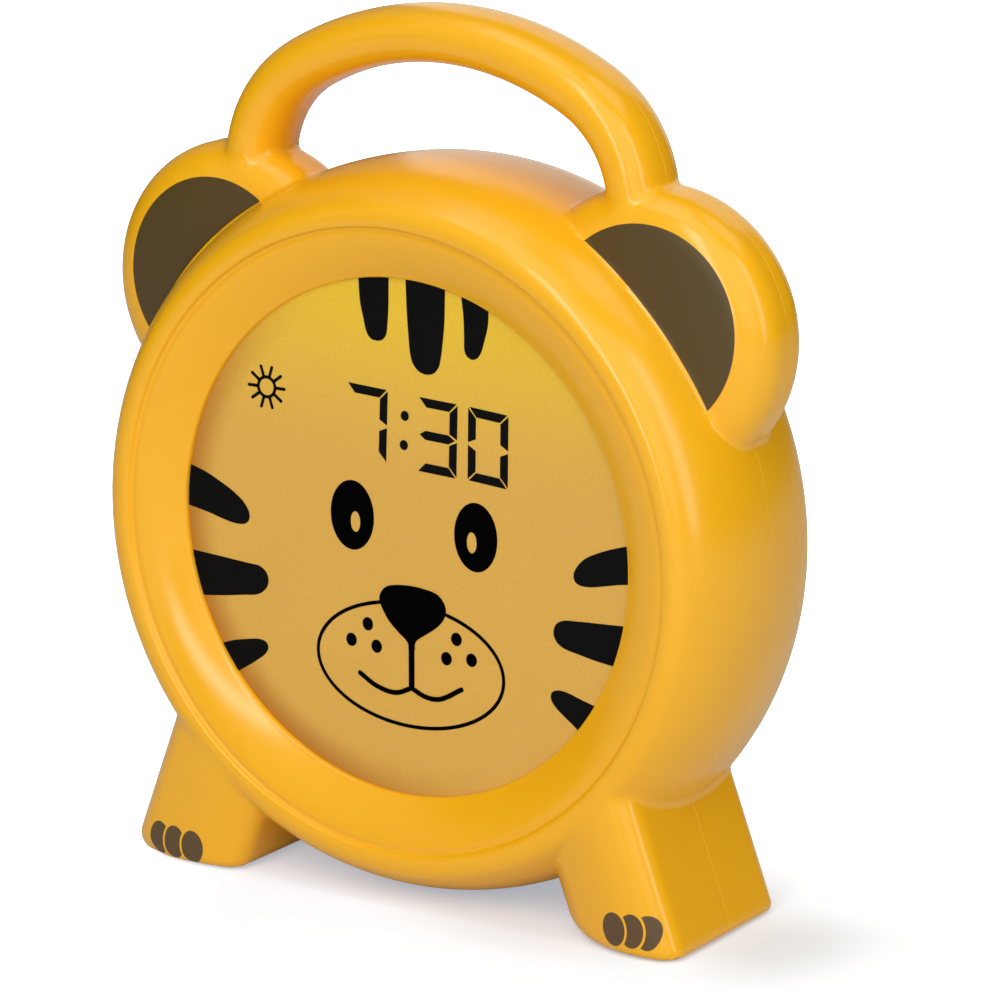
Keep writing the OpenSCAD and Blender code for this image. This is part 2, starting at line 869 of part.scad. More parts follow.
// Inner walls of the rear shell, before its holes are cut
module rear_fittings() {
    tongue(body_r - wall - tongue_root, body_r - wall + tongue_w, -6, tongue_t);
    at_shell_screws()
        disc(shell_tower_r, back_in_t - 0.4, 0);
    translate([0, main_up, 0])
        soft_block(controls_w + 2 * wall, controls_h + 2 * wall, 6, back_in_t - 0.4, dip_in_t);
    at_main_screws()
        disc(2.8, back_in_t - 0.4, main_back);
    translate([0, bay_up, 0])
        soft_block(bay_l + 2 * bay_wall, bay_h + 2 * bay_wall, 2, door_seat, bay_floor + bay_wall);
    translate([0, bay_up + bay_h / 2 + bay_wall + door_strip / 2, 0])
        block(bay_l + 2 * bay_wall, door_strip + bay_wall, door_seat, door_seat + door_boss_t + wall);
    translate([0, door_screw_up, 0])
        disc(shell_boss_r, door_seat, -back_depth + head_t + door_screw_l + 2);
    translate([inlet_x, inlet_up, 0])
        soft_block(inlet_w + 3, inlet_h + 3, 3, back_in_t - 0.4, inlet_floor + 1.5);
    at_inlet_screws()
        disc(2.5, back_in_t - 0.4, socket_back);
    translate([speaker_x, speaker_up, 0])
        ring(speaker_r + fit_gap + 1.4, speaker_r + fit_gap, back_in_t - 0.4, back_in_t + 1.2);
    difference() {
        at_speaker_screws()
            disc(2.7, back_in_t - 0.4, back_in_t + speaker_flange);
        translate([speaker_x, speaker_up, 0])
            disc(speaker_r + fit_gap, back_in_t, 0);
    }
}

// Everything that is cut through the rear shell
module rear_cuts() {
    at_shell_screws() {
        disc(head_r + fit_gap, -far, -(back_depth - shell_well));
        screw_hole(-far, 1);
    }
    translate([0, main_up, 0])
        soft_block(controls_w, controls_h, 5, -far, dip_t);
    for (i = [0:5])
        at_key(i)
            disc(key_r + key_gap, -far, dip_in_t + 1);
    translate([slider_x, slider_up, 0])
        block(slider_l + slider_travel + 2 * key_gap, slider_w + 2 * key_gap, -far, dip_in_t + 1);
    at_main_screws()
        screw_hole(main_back - 6, 0);
    translate([0, door_up, 0])
        soft_block(door_w + 2 * fit_gap, door_h + 2 * fit_gap, 3 + fit_gap, -far, door_seat);
    translate([0, bay_up, 0])
        block(bay_l, bay_h, -far, bay_floor);
    for (side = [-1, 1])
        translate([side * (bay_l / 2 - plate_t / 2), bay_up + tag_up, 0])
            block(plate_t + 2 * fit_gap, tag_w + 2 * fit_gap, -far / 10, far / 10);
    translate([0, door_screw_up, 0]) {
        disc(door_boss_r + fit_gap, -far, door_seat + door_boss_t + fit_gap);
        screw_hole(-far, -back_depth + head_t + door_screw_l + 1);
    }
    translate([inlet_x, inlet_up, 0]) {
        soft_block(inlet_w, inlet_h, 2.5, -far, inlet_floor);
        soft_block(socket_w + 2 * fit_gap, socket_h + 2 * fit_gap, socket_h / 2, -far, 0);
    }
    at_inlet_screws()
        screw_hole(socket_back - 6, 0);
    at_speaker_screws()
        screw_hole(back_in_t + speaker_flange - 3, 0);
    translate([speaker_x, speaker_up, 0])
        for (row = [0:3])
            for (i = [0:max(0, row * 6 - 1)])
                translate(on_circle(row * grille_pitch, 360 * i / max(1, row * 6)))
                    disc(grille_hole_r, -far, back_in_t + 1);
    at_pads()
        disc(pad_r + fit_gap, -1, pad_t);
}

module rear_shell() {
    color(BODY_COLOR)
        placed() {
            difference() {
                union() {
                    difference() {
                        union() {
                            rear_form();
                            intersection() {
                                limbs();
                                rear_half();
                            }
                        }
                        rear_room();
                        limbs(wall);
                    }
                    rear_fittings();
                }
                rear_cuts();
            }
        }
}

module shell_screws() {
    color(STEEL_COLOR)
        placed()
            at_shell_screws()
                translate([0, 0, -(back_depth - shell_well)])
                    screw(shell_screw_l);
}

module foot_pads() {
    color(BLACK_COLOR)
        placed()
            at_pads()
                disc(pad_r, 0, pad_t);
}

// ---------------------------------------------------------------- face and light unit

module face_panel() {
    color("#dcab50")
        placed()
            disc(panel_r, panel_back, seat_t);
}

module panel_gasket() {
    color(BLACK_COLOR)
        placed()
            ring(panel_r, panel_r - gasket_w, box_front, panel_back);
}

// At the display's centre
module at_lcd() translate([lcd_x, lcd_up, 0]) children();

module lcd_glass() {
    color("#9aa88a")
        placed()
            at_lcd()
                block(lcd_w, lcd_h, lcd_back, panel_back);
}

module lcd_frame() {
    color(WHITE_COLOR)
        placed()
            difference() {
                at_lcd()
                    difference() {
                        block(lcd_w + 2 * lcd_rim, lcd_h + 2 * lcd_rim, lcd_back - frame_lip, panel_back - 0.1);
                        block(lcd_w + 0.1, lcd_h + 0.1, lcd_back, far);
                        block(lcd_w - 4, lcd_h - 4, -far, far);
                    }
                ribbon_gap(lcd_back - far, lcd_back, lcd_rim * 2);
            }
}

// Room for the ribbon between two depths, open upwards by a given height
module ribbon_gap(from, to, height = 0) {
    translate([lcd_x - ribbon_w / 2 - 0.8, ribbon_up - ribbon_slot / 2, from])
        cube([ribbon_w + 1.6, ribbon_slot + height, to - from]);
}

module lcd_ribbon() {
    color("#c98a2b")
        placed()
            translate([lcd_x - ribbon_w / 2, 0, 0]) {
                translate([0, ribbon_up - ribbon_t / 2, lcd_back - ribbon_t - 0.05])
                    cube([ribbon_w, lcd_rim + 3, ribbon_t]);
                translate([0, ribbon_up - ribbon_t / 2, ribbon_end])
                    cube([ribbon_w, ribbon_t, lcd_back - 0.05 - ribbon_end]);
                translate([0, ribbon_up - ribbon_t / 2, ribbon_end])
                    cube([ribbon_w, connector_up - ribbon_up + ribbon_t / 2 - 0.05, ribbon_t]);
            }
}

module ribbon_connector() {
    color(WHITE_COLOR)
        placed()
            translate([lcd_x - ribbon_w / 2 - 2, connector_up, main_front])
                cube([ribbon_w + 4, 4, 2.6]);
}

module diffuser_sheet() {
    color(WHITE_COLOR)
        placed()
            difference() {
                disc(box_in_r - fit_gap, diffuser_back, diffuser_front);
                ribbon_gap(-far, far);
            }
}

module light_box() {
    color(WHITE_COLOR)
        placed()
            difference() {
                union() {
                    ring(box_r, box_in_r, box_back, box_front);
                    ring(box_in_r + 0.5, box_in_r - 2, box_back, diffuser_back);
                    disc(box_r, box_back, box_back + box_plate);
                    at_lamp_screws()
                        disc(3, box_back, box_back + 6);
                    for (turn = lug_turns)
                        rotate([0, 0, turn]) {
                            translate([lug_at, 0, 0])
                                disc(lug_r, lug_front - lug_t, lug_front);
                            translate([box_r - 1, -lug_r * 0.8, lug_front - lug_t])
                                cube([lug_at - box_r + 1, lug_r * 1.6, lug_t]);
                        }
                }
                at_lugs()
                    screw_hole(0, far);
                at_lamp_screws()
                    screw_hole(0, box_back + 5.4);
                at_lamps()
                    disc(lamp_w * 0.75 + fit_gap, 0, box_back + box_plate + 1);
                ribbon_gap(-far, box_back + box_plate + 1);
            }
}

module light_box_screws() {
    color(STEEL_COLOR)
        placed()
            at_lugs()
                translate([0, 0, lug_front - lug_t])
                    screw(lug_t + lug_pilot - 1);
}

module lamp_board() {
    color(BOARD_COLOR)
        placed()
            difference() {
                disc(lamp_board_r, box_back - board_t, box_back);
                at_lamp_screws()
                    screw_hole(0, far);
                ribbon_gap(-far, far);
            }
}

module lamps() {
    color("#ffe9a8")
        placed()
            at_lamps()
                block(lamp_w, lamp_w, box_back, box_back + lamp_t);
}

module lamp_board_screws() {
    color(STEEL_COLOR)
        placed()
            at_lamp_screws()
                translate([0, 0, box_back - board_t])
                    screw(board_t + 5);
}

// ---------------------------------------------------------------- boards

module main_board() {
    color(BOARD_COLOR)
        placed()
            difference() {
                translate([0, main_up, 0])
                    soft_block(main_w, main_h, 2, main_back, main_front);
                at_main_screws()
                    screw_hole(-far, far);
            }
}

module main_chips() {
    color(BLACK_COLOR)
        placed() {
            translate([-main_w * 0.21, main_up + 4, 0])
                block(12, 12, main_front, main_front + 1.4);
            translate([main_w * 0.21, main_up - 2, 0])
                block(8, 5, main_front, main_front + 1.6);
            translate([-main_w * 0.35, main_up + 8, 0])
                block(4, 9, main_front, main_front + 2.4);
        }
}

module buffer_capacitor() {
    color("#2b2f55")
        placed()
            translate([main_w / 2 - 14, main_up + 6, 0])
                disc(4, main_front, main_front + 8);
}

module main_board_screws() {
    color(STEEL_COLOR)
        placed()
            at_main_screws()
                translate([0, 0, main_front])
                    mirror([0, 0, 1])
                        screw(board_t + 5);
}

// ---------------------------------------------------------------- keys

module key_switches() {
    color(BLACK_COLOR)
        placed()
            for (i = [0:5])
                at_key(i)
                    difference() {
                        block(switch_w, switch_w, main_back - switch_t, main_back);
                        disc(plunger_r + slip_gap, main_back - switch_t - 1, main_back - 0.6);
                    }
}

// One round key with its flange and stem
module key(i) {
    color(TRIM_COLOR)
        placed()
            at_key(i)
                rotate_extrude()
                    polygon(concat(
                        [[0, key_face]],
                        arc([key_r - 0.8, key_face + 0.8], 0.8, 0.8, -90, 0, 5),
                        [
                            [key_r, flange_back],
                            [key_r + key_flange, flange_back],
                            [key_r + key_flange, flange_back + flange_t],
                            [2.2, flange_back + flange_t],
                            [2.2, plunger_face],
                            [0, plunger_face]
                        ]
                    ));
}

// The plunger of one key's switch
module plunger(i) {
    color(WHITE_COLOR)
        placed()
            at_key(i)
                disc(plunger_r, plunger_face, main_back - 0.8 - key_travel);
}

module slide_switch() {
    color(STEEL_COLOR)
        placed()
            translate([slider_x, slider_up, 0])
                difference() {
                    block(slider_travel + 6, 5, main_back - switch_t, main_back);
                    block(slider_travel + lever_w + 2 * key_gap, lever_w + 2 * slip_gap, -far, main_back - 1);
                }
}

// At the power switch's rest position
module at_slider() translate([slider_x - slider_travel / 2, slider_up, 0]) children();

module switch_lever() {
    color(WHITE_COLOR)
        placed()
            at_slider()
                block(lever_w, lever_w, flange_back + flange_t + 0.1, main_back - 1.2);
}

module switch_knob() {
    color(TRIM_COLOR)
        placed()
            at_slider()
                difference() {
                    union() {
                        block(slider_l, slider_w, key_face, flange_back + 0.5);
                        block(slider_l + slider_travel + 3, slider_w + 3, flange_back, flange_back + flange_t);
                        block(lever_w + 2.4, lever_w + 2.4, flange_back, main_back - switch_t - 0.4);
                    }
                    block(lever_w + 2 * slip_gap, lever_w + 2 * slip_gap, flange_back + flange_t, far);
                    for (i = [-1:1])
                        translate([i * 1.4, 0, 0])
                            block(0.5, slider_w + 1, key_face - 1, key_face + 0.4);
                }
}

// ---------------------------------------------------------------- speaker and inlet

// At the speaker's centre on the rear shell's inner face
module at_speaker() translate([speaker_x, speaker_up, back_in_t]) children();

module speaker_frame() {
    color(STEEL_COLOR)
        placed()
            at_speaker()
                rotate_extrude()
                    polygon([
                        [speaker_r - 2.2, 0.7],
                        [speaker_r - 2.2, 0],
                        [speaker_r, 0],
                        [speaker_r, speaker_flange],
                        [speaker_r - 2.4, speaker_flange],
                        [speaker_r * 0.52, speaker_deep],
                        [speaker_r * 0.2, speaker_deep],
                        [speaker_r * 0.2, speaker_deep - 0.8],
                        [speaker_r * 0.5, speaker_deep - 0.8],
                        [speaker_r - 3, 0.7]
                    ]);
}

module speaker_cone() {
    color(BLACK_COLOR)
        placed()
            at_speaker()
                rotate_extrude()
                    polygon([
                        [0, 2.8],
                        [4, 3.6],
                        [speaker_r - 3.4, 0.2],
                        [speaker_r - 2.3, 0.2],
                        [speaker_r - 2.3, 0.65],
                        [speaker_r - 3.3, 0.65],
                        [4, 4.2],
                        [0, 3.4]
                    ]);
}

module speaker_magnet() {
    color(STEEL_COLOR)
        placed()
            at_speaker()
                disc(speaker_r * 0.55, speaker_deep, speaker_deep + 4);
}

module speaker_screws() {
    color(STEEL_COLOR)
        placed()
            at_speaker_screws()
                translate([0, 0, back_in_t + speaker_flange])
                    mirror([0, 0, 1])
                        screw(2.6);
}

module inlet_board() {
    color(BOARD_COLOR)
        placed()
            difference() {
                translate([inlet_x, inlet_up, 0])
                    soft_block(inlet_w + 12, 16, 1.5, socket_back, socket_back + board_t);
                at_inlet_screws()
                    screw_hole(-far, far);
            }
}

module power_socket() {
    color(STEEL_COLOR)
        placed()
            translate([inlet_x, inlet_up, 0]) {
                difference() {
                    soft_block(socket_w, socket_h, socket_h / 2 - 0.1, socket_back - socket_l, socket_back);
                    soft_block(
                        socket_w - 0.6, socket_h - 0.6, socket_h / 2 - 0.4,
                        socket_back - socket_l - 1, socket_back - 1
                    );
                }
                block(socket_w * 0.7, 0.7, socket_back - socket_l + 0.6, socket_back - 0.5);
            }
}

module inlet_screws() {
    color(STEEL_COLOR)
        placed()
            at_inlet_screws()
                translate([0, 0, socket_back + board_t])
                    mirror([0, 0, 1])
                        screw(board_t + 5);
}

// ---------------------------------------------------------------- batteries

module battery_cells() {
    color("#3f7fb0")
        placed()
            at_cells()
                translate([bay_l / 2 - plate_t - cell_button - cell_l, 0, 0])
                    rotate([0, 90, 0]) {
                        cylinder(r = cell_r, h = cell_l);
                        translate([0, 0, cell_l - 1])
                            cylinder(r = 2.7, h = cell_button + 1);
                    }
}

module contact_springs() {
    thick = 0.4;
    turns = 4;
    steps = 12;
    room = spring_l - 2 * thick - 0.1;
    color(STEEL_COLOR)
        placed()
            at_cells()
                translate([-bay_l / 2 + plate_t + thick + 0.05, 0, 0])
                    wire(
                        [
                            for (i = [0:turns * steps])
                                let (a = 360 * i / steps, r = spring_r - 1.6 * i / (turns * steps))
                                [room * i / (turns * steps), r * cos(a), r * sin(a)]
                        ],
                        thick, 6
                    );
}

module contact_plates() {
    color(STEEL_COLOR)
        placed() {
            at_cells()
                for (side = [-1, 1])
                    translate([side * (bay_l / 2 - plate_t / 2), 0, -1])
                        block(plate_t, 10, -5, 5);
            for (side = [-1, 1])
                translate([side * (bay_l / 2 - plate_t / 2), bay_up + tag_up, 0])
                    block(plate_t, tag_w, cell_t, tag_top);
        }
}

module battery_door() {
    color(BODY_COLOR)
        placed()
            difference() {
                union() {
                    translate([0, door_up, 0])
                        soft_block(door_w, door_h, 3, -back_depth, -(back_depth - door_t));
                    translate([0, door_screw_up, 0])
                        disc(door_boss_r, -back_depth, door_seat + door_boss_t);
                    for (side = [-1, 1])
                        translate([side * bay_l / 4, bay_up - bay_h / 2 + fit_gap + door_rib_t / 2, 0])
                            block(6, door_rib_t, -back_depth, door_seat + door_boss_t);
                }
                translate([0, door_screw_up, 0]) {
                    disc(head_r + fit_gap, -far, -back_depth + head_t + fit_gap);
                    screw_hole(-far, far);
                }
                for (i = [-2:2])
                    translate([0, door_up - door_h / 2 + 8 + i * 2.4, 0])
                        block(16, 1, -far, -back_depth + 0.5);
            }
}

module door_screw() {
    color(STEEL_COLOR)
        placed()
            translate([0, door_screw_up, -back_depth + head_t + fit_gap])
                screw(door_screw_l);
}

// ---------------------------------------------------------------- wires

// A pair of wires a given step apart
module wire_pair(route, step) {
    color("#b03030")
        placed()
            wire(route, wire_r);
    color(BLACK_COLOR)
        placed()
            wire([for (p = route) p + step], wire_r);
}

module battery_wires() {
    for (side = [-1, 1])
        color(side > 0 ? "#b03030" : BLACK_COLOR)
            placed()
                wire([for (p = battery_route) [side > 0 ? p[0] : -p[0], p[1], p[2]]], wire_r);
}

module speaker_wires() wire_pair(speaker_route, [-3, 0, 0]);

module lamp_wires() wire_pair(lamp_route, [3, 0, 0]);

module inlet_wires() wire_pair(inlet_route, [3, 0, 0]);

// ---------------------------------------------------------------- pieces

front_shell();
rear_shell();
face_panel();
panel_gasket();
lcd_glass();
lcd_frame();
lcd_ribbon();
ribbon_connector();
diffuser_sheet();
light_box();
light_box_screws();
lamp_board();
lamps();
lamp_board_screws();
main_board();
main_chips();
buffer_capacitor();
main_board_screws();
key_switches();
key(0);  // set_key
key(1);  // up_key
key(4);  // down_key
key(2);  // alarm_key
key(5);  // light_key
key(3);  // volume_key
plunger(0);  // set_plunger
plunger(1);  // up_plunger
plunger(4);  // down_plunger
plunger(2);  // alarm_plunger
plunger(5);  // light_plunger
plunger(3);  // volume_plunger
slide_switch();
switch_lever();
switch_knob();
speaker_frame();
speaker_cone();
speaker_magnet();
speaker_screws();
inlet_board();
power_socket();
inlet_screws();
battery_cells();
contact_springs();
contact_plates();
battery_door();
door_screw();
shell_screws();
foot_pads();
battery_wires();
speaker_wires();
lamp_wires();
inlet_wires();
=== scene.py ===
"""Looks of a round tiger alarm clock with a night light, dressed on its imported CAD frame.

Forms are drawn in the face frame, in millimetres: X to the right, Y up from the body's centre and Z
forward from the seam of the two shells. A finished piece is turned into the frame's own axes, in metres.
"""

import itertools
import logging
import math
from collections.abc import Callable, Iterable, Sequence
from dataclasses import dataclass, field, replace
from enum import Enum

import bmesh
import bpy
import numpy as np
from mathutils import Matrix, Vector

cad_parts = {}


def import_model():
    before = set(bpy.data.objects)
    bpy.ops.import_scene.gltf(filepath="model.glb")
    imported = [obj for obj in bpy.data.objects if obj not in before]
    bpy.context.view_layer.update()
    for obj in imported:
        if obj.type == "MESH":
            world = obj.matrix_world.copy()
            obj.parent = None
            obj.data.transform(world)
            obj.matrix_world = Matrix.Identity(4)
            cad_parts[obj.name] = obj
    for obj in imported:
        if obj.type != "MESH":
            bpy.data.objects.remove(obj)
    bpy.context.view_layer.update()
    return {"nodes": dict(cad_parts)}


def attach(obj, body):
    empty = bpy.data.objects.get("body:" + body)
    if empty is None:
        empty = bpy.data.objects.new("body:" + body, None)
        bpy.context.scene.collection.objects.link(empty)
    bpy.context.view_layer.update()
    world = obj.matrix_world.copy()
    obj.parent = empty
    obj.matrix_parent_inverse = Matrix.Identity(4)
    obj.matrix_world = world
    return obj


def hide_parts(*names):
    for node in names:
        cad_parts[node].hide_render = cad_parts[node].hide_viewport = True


LOG = logging.getLogger("clock")
MM = 0.001
BODY_UP = 88.4
WHITE = (1.0, 1.0, 1.0)
CUT_CLEAR = 2.0
EDGE_ROUND = 0.35
Array = np.ndarray
Part = tuple[Array, list[Sequence[int]]]
Colour = tuple[float, float, float]
Spot = tuple[float, float]
Point = tuple[float, float, float]
Stretch = tuple[float, float, float]
Socket = bpy.types.NodeSocket


class Slot(Enum):
    """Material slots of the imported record."""

    BODY = "body_plastic"
    TRIM = "trim_plastic"
    FACE = "face_plastic"
    WHITE = "white_plastic"
    GLASS = "display_glass"
    RUBBER = "black_rubber"
    BLACK = "black_plastic"
    STEEL = "steel"
    BOARD = "board_green"
    SLEEVE = "sleeve_blue"
    LAMP = "lamp_resin"
    RIBBON = "ribbon_film"
    PAPER = "paper_cone"
    WIRE = "wire_sleeve"


class Boolean(Enum):
    """How one solid changes another."""

    ADD = "UNION"
    CUT = "DIFFERENCE"


# ---- shader helpers


def paint(red: float, green: float, blue: float) -> Colour:
    """A colour from its display values of 0 to 255, in scene linear values.

    Args:
        red: Red on the display.
        green: Green on the display.
        blue: Blue on the display.

    Returns:
        The colour.
    """
    return tuple(
        (c / 255 / 12.92) if c <= 10 else ((c / 255 + 0.055) / 1.055) ** 2.4 for c in (red, green, blue)
    )


class Tree:
    """A node tree under construction."""

    def __init__(self, tree: bpy.types.NodeTree) -> None:
        """Starts on an empty tree."""
        self.tree = tree
        tree.nodes.clear()

    def add(self, kind: str, settings: dict | None = None, inputs: dict | None = None) -> bpy.types.Node:
        """Adds one node.

        Args:
            kind: The node's type.
            settings: Its settings, which are set first.
            inputs: A value or a link for each input, by name or number.

        Returns:
            The node.
        """
        node = self.tree.nodes.new(kind)
        for key, value in (settings or {}).items():
            setattr(node, key, value)
        for key, value in (inputs or {}).items():
            value = value.socket if isinstance(value, Num) else value
            if isinstance(value, Socket):
                self.tree.links.new(value, node.inputs[key])
            else:
                node.inputs[key].default_value = value
        return node

    def place(self) -> tuple["Num", "Num", "Num"]:
        """Object coordinates in millimetres: to the right, to the back and up."""
        split = self.add("ShaderNodeSeparateXYZ", inputs={0: self.coordinates()})
        return tuple(Num(self, split.outputs[i]) / MM for i in range(3))

    def coordinates(self) -> Socket:
        """The object coordinates' socket."""
        return self.add("ShaderNodeTexCoord").outputs["Object"]

    def noise(self, scale: float, detail: float = 2.0) -> "Num":
        """Smooth noise from 0 to 1, with a given number of cells to the metre."""
        inputs = {"Vector": self.coordinates(), "Scale": scale, "Detail": detail}
        return Num(self, self.add("ShaderNodeTexNoise", inputs=inputs).outputs[0])

    def mix(self, amount: "Num", first: object, second: object) -> Socket:
        """A colour between two colours.

        Args:
            amount: Share of the second colour.
            first: The first colour, or its socket.
            second: The second colour, or its socket.

        Returns:
            The colour's socket.
        """
        full = [(*c, 1.0) if isinstance(c, tuple) else c for c in (first, second)]
        node = self.add("ShaderNodeMix", {"data_type": "RGBA"}, {0: amount, 6: full[0], 7: full[1]})
        return node.outputs[2]

    def bump(self, height: "Num", strength: float, distance: float) -> Socket:
        """A normal from a height, whose full step is a distance in metres."""
        inputs = {"Height": height, "Strength": strength, "Distance": distance}
        return self.add("ShaderNodeBump", inputs=inputs).outputs[0]


class Num:
    """A number in a node tree. An expression on it adds Math nodes."""

    def __init__(self, tree: Tree, socket: Socket) -> None:
        """Wraps an output socket."""
        self.tree, self.socket = tree, socket

    def math(self, operation: str, *values: object, clamp: bool = False) -> "Num":
        """The result of one Math node on numbers or wrapped sockets, kept between 0 and 1 where clamped."""
        settings = {"operation": operation, "use_clamp": clamp}
        return Num(self.tree, self.tree.add("ShaderNodeMath", settings, dict(enumerate(values))).outputs[0])

    def __add__(self, other: object) -> "Num":
        """Sum."""
        return self.math("ADD", self, other)

    __radd__ = __add__

    def __sub__(self, other: object) -> "Num":
        """Difference."""
        return self.math("SUBTRACT", self, other)

    def __rsub__(self, other: object) -> "Num":
        """Difference from a number."""
        return self.math("SUBTRACT", other, self)

    def __mul__(self, other: object) -> "Num":
        """Product."""
        return self.math("MULTIPLY", self, other)

    __rmul__ = __mul__

    def __truediv__(self, other: object) -> "Num":
        """Quotient."""
        return self.math("DIVIDE", self, other)

    def root(self) -> "Num":
        """Square root."""
        return self.math("SQRT", self)

    def unit(self) -> "Num":
        """The number kept between 0 and 1."""
        return self.math("ADD", self, 0.0, clamp=True)

    def larger(self, other: object) -> "Num":
        """The larger of two numbers."""
        return self.math("MAXIMUM", self, other)

    def ramp(self, low: float, high: float) -> "Num":
        """A smooth step from 0 at a low value to 1 at a high one."""
        share = ((self - low) / (high - low)).unit()
        return share * share * (3.0 - 2.0 * share)


def distance(x: Num, y: Num, centre: Spot, half: Spot = (1.0, 1.0)) -> Num:
    """Distance from a centre, counted in half widths along each axis.

    Args:
        x: Place along the first axis.
        y: Place along the second axis.
        centre: The centre.
        half: Half width along each axis.

    Returns:
        The distance.
    """
    dx, dy = (x - centre[0]) / half[0], (y - centre[1]) / half[1]
    return (dx * dx + dy * dy).root()


# ---- finishes


@dataclass(frozen=True)
class Finish:
    """A moulded or coated surface with fine grain and a little unevenness."""

    name: str
    colour: Colour
    roughness: float = 0.45
    metallic: float = 0.0
    coat: float = 0.0
    coat_roughness: float = 0.12
    mottle: float = 0.06
    mottle_scale: float = 60.0
    grain: float = 0.05
    grain_scale: float = 1400.0
    grain_depth: float = 0.0001
    specular: float = 0.5
    sheen_scale: float = 0.7
    sheen_least: float = 0.9
    sheen_spread: float = 0.2

    def material(self) -> bpy.types.Material:
        """Builds the material, once for each finish.

        Returns:
            The material.
        """
        made = bpy.data.materials.get(self.name)
        if made is None:
            made = bpy.data.materials.new(self.name)
            made.use_nodes = True
            made.diffuse_color = (*self.colour, 1.0)
            tree = Tree(made.node_tree)
            plain = {
                "Metallic": self.metallic,
                "Coat Weight": self.coat,
                "Coat Roughness": self.coat_roughness,
                "Specular IOR Level": self.specular,
            }
            shader = tree.add("ShaderNodeBsdfPrincipled", inputs=plain | self.surface(tree))
            tree.add("ShaderNodeOutputMaterial", inputs={0: shader.outputs[0]})
        return made

    def tone(self, tree: Tree) -> Socket:
        """The colour with its slow unevenness.

        Args:
            tree: The material's tree.

        Returns:
            The colour's socket.
        """
        dark = tuple(c * (1 - self.mottle) for c in self.colour)
        light = tuple(min(1.0, c * (1 + self.mottle)) for c in self.colour)
        return tree.mix(tree.noise(self.mottle_scale), dark, light)

    def sheen(self, tree: Tree) -> Num:
        """The roughness with its slow unevenness."""
        slow = tree.noise(self.mottle_scale * self.sheen_scale)
        return slow * (self.roughness * self.sheen_spread) + self.roughness * self.sheen_least

    def surface(self, tree: Tree) -> dict:
        """Builds what varies over the surface, by the shader's input.

        Args:
            tree: The material's tree.

        Returns:
            A value or a socket for each input.
        """
        return {
            "Base Color": self.tone(tree),
            "Roughness": self.sheen(tree),
            "Normal": tree.bump(tree.noise(self.grain_scale), self.grain, self.grain_depth),
        }


@dataclass(frozen=True)
class BrushedFinish(Finish):
    """Plated steel with fine lines across it."""

    metallic: float = 1.0
    roughness: float = 0.34
    grain: float = 0.1
    lines: Point = (300.0, 2600.0, 2600.0)
    line_rough: float = 0.18
    rough_least: float = 0.75

    def surface(self, tree: Tree) -> dict:
        """Builds what varies over the surface, by the shader's input.

        Args:
            tree: The material's tree.

        Returns:
            A value or a socket for each input.
        """
        stretch = tree.add("ShaderNodeMapping", inputs={"Vector": tree.coordinates(), "Scale": self.lines})
        noise = tree.add("ShaderNodeTexNoise", inputs={"Vector": stretch.outputs[0], "Scale": 1.0})
        line = Num(tree, noise.outputs[0])
        return {
            "Base Color": self.tone(tree),
            "Roughness": line * self.line_rough + self.roughness * self.rough_least,
            "Normal": tree.bump(line, self.grain, self.grain_depth),
        }


@dataclass(frozen=True)
class ShellFinish(Finish):
    """Satin amber plastic with the brown patches of the ears and the toes painted on it."""

    patch: Colour = field(default_factory=lambda: paint(80, 60, 12))
    toe: Colour = field(default_factory=lambda: paint(92, 68, 34))
    ears: tuple[Spot, ...] = ((59.9, 55.4), (-59.1, 54.5))
    ear_patch_r: float = 24.2
    ear_from_back: float = -6.0
    barrel_r: float = 86.9
    right_toes: tuple[Spot, ...] = ((62.6, 6.4), (67.4, 6.8), (71.4, 6.9))
    left_toes: tuple[Spot, ...] = ((-57.2, 4.9), (-62.6, 5.2), (-67.5, 5.4))
    toe_half: Spot = (3.2, 4.1)
    toe_gap: float = 1.18
    toe_from_back: float = -17.0
    soft: float = 0.16
    soft_back: float = 0.5
    paint_matt: float = 0.26
    grain_depth: float = 0.0003
    wave: float = 0.4
    wave_scale: float = 22.0
    relief: float = 0.12

    def inside(self, away: Num, edge: float, unit: float = 1.0) -> Num:
        """1 where a distance is inside an edge and 0 outside it, softened; the unit is in millimetres."""
        return ((edge - away) * (unit / self.soft) + 0.5).unit()

    def before(self, back: Num, limit: float) -> Num:
        """1 in front of a depth and 0 behind it."""
        return ((limit - back) / self.soft_back + 0.5).unit()

    def toes(self, x: Num, z: Num) -> Num:
        """1 on the toes, each row's next toe being cut back beside the one before it.

        Args:
            x: Place to the right.
            z: Height above the ground.

        Returns:
            The share that is toe.
        """
        shown = 0.0 * x
        for row in (self.right_toes, self.left_toes):
            cover = 0.0 * x
            for centre in row:
                away = distance(x, z, centre, self.toe_half)
                shown = shown.larger(self.inside(away, 1.0, self.toe_half[0]) * (1.0 - cover))
                cover = cover.larger(self.inside(away, self.toe_gap, self.toe_half[0]))
        return shown

    def surface(self, tree: Tree) -> dict:
        """Builds what varies over the surface, by the shader's input.

        Args:
            tree: The material's tree.

        Returns:
            A value or a socket for each input.
        """
        x, back, z = tree.place()
        up = z - BODY_UP
        outside = ((distance(x, up, (0.0, 0.0)) - self.barrel_r) / self.soft + 0.5).unit()
        near = [self.inside(distance(x, up, centre), self.ear_patch_r) for centre in self.ears]
        ears = near[0].larger(near[1]) * self.before(back, self.ear_from_back) * outside
        toes = self.toes(x, z) * self.before(back, self.toe_from_back)
        colour = tree.mix(toes, tree.mix(ears, self.tone(tree), self.patch), self.toe)
        relief = tree.noise(self.grain_scale) * self.grain + tree.noise(self.wave_scale, 1.0) * self.wave
        return {
            "Base Color": colour,
            "Roughness": self.sheen(tree) + ears.larger(toes) * self.paint_matt,
            "Normal": tree.bump(relief, self.relief, self.grain_depth),
        }


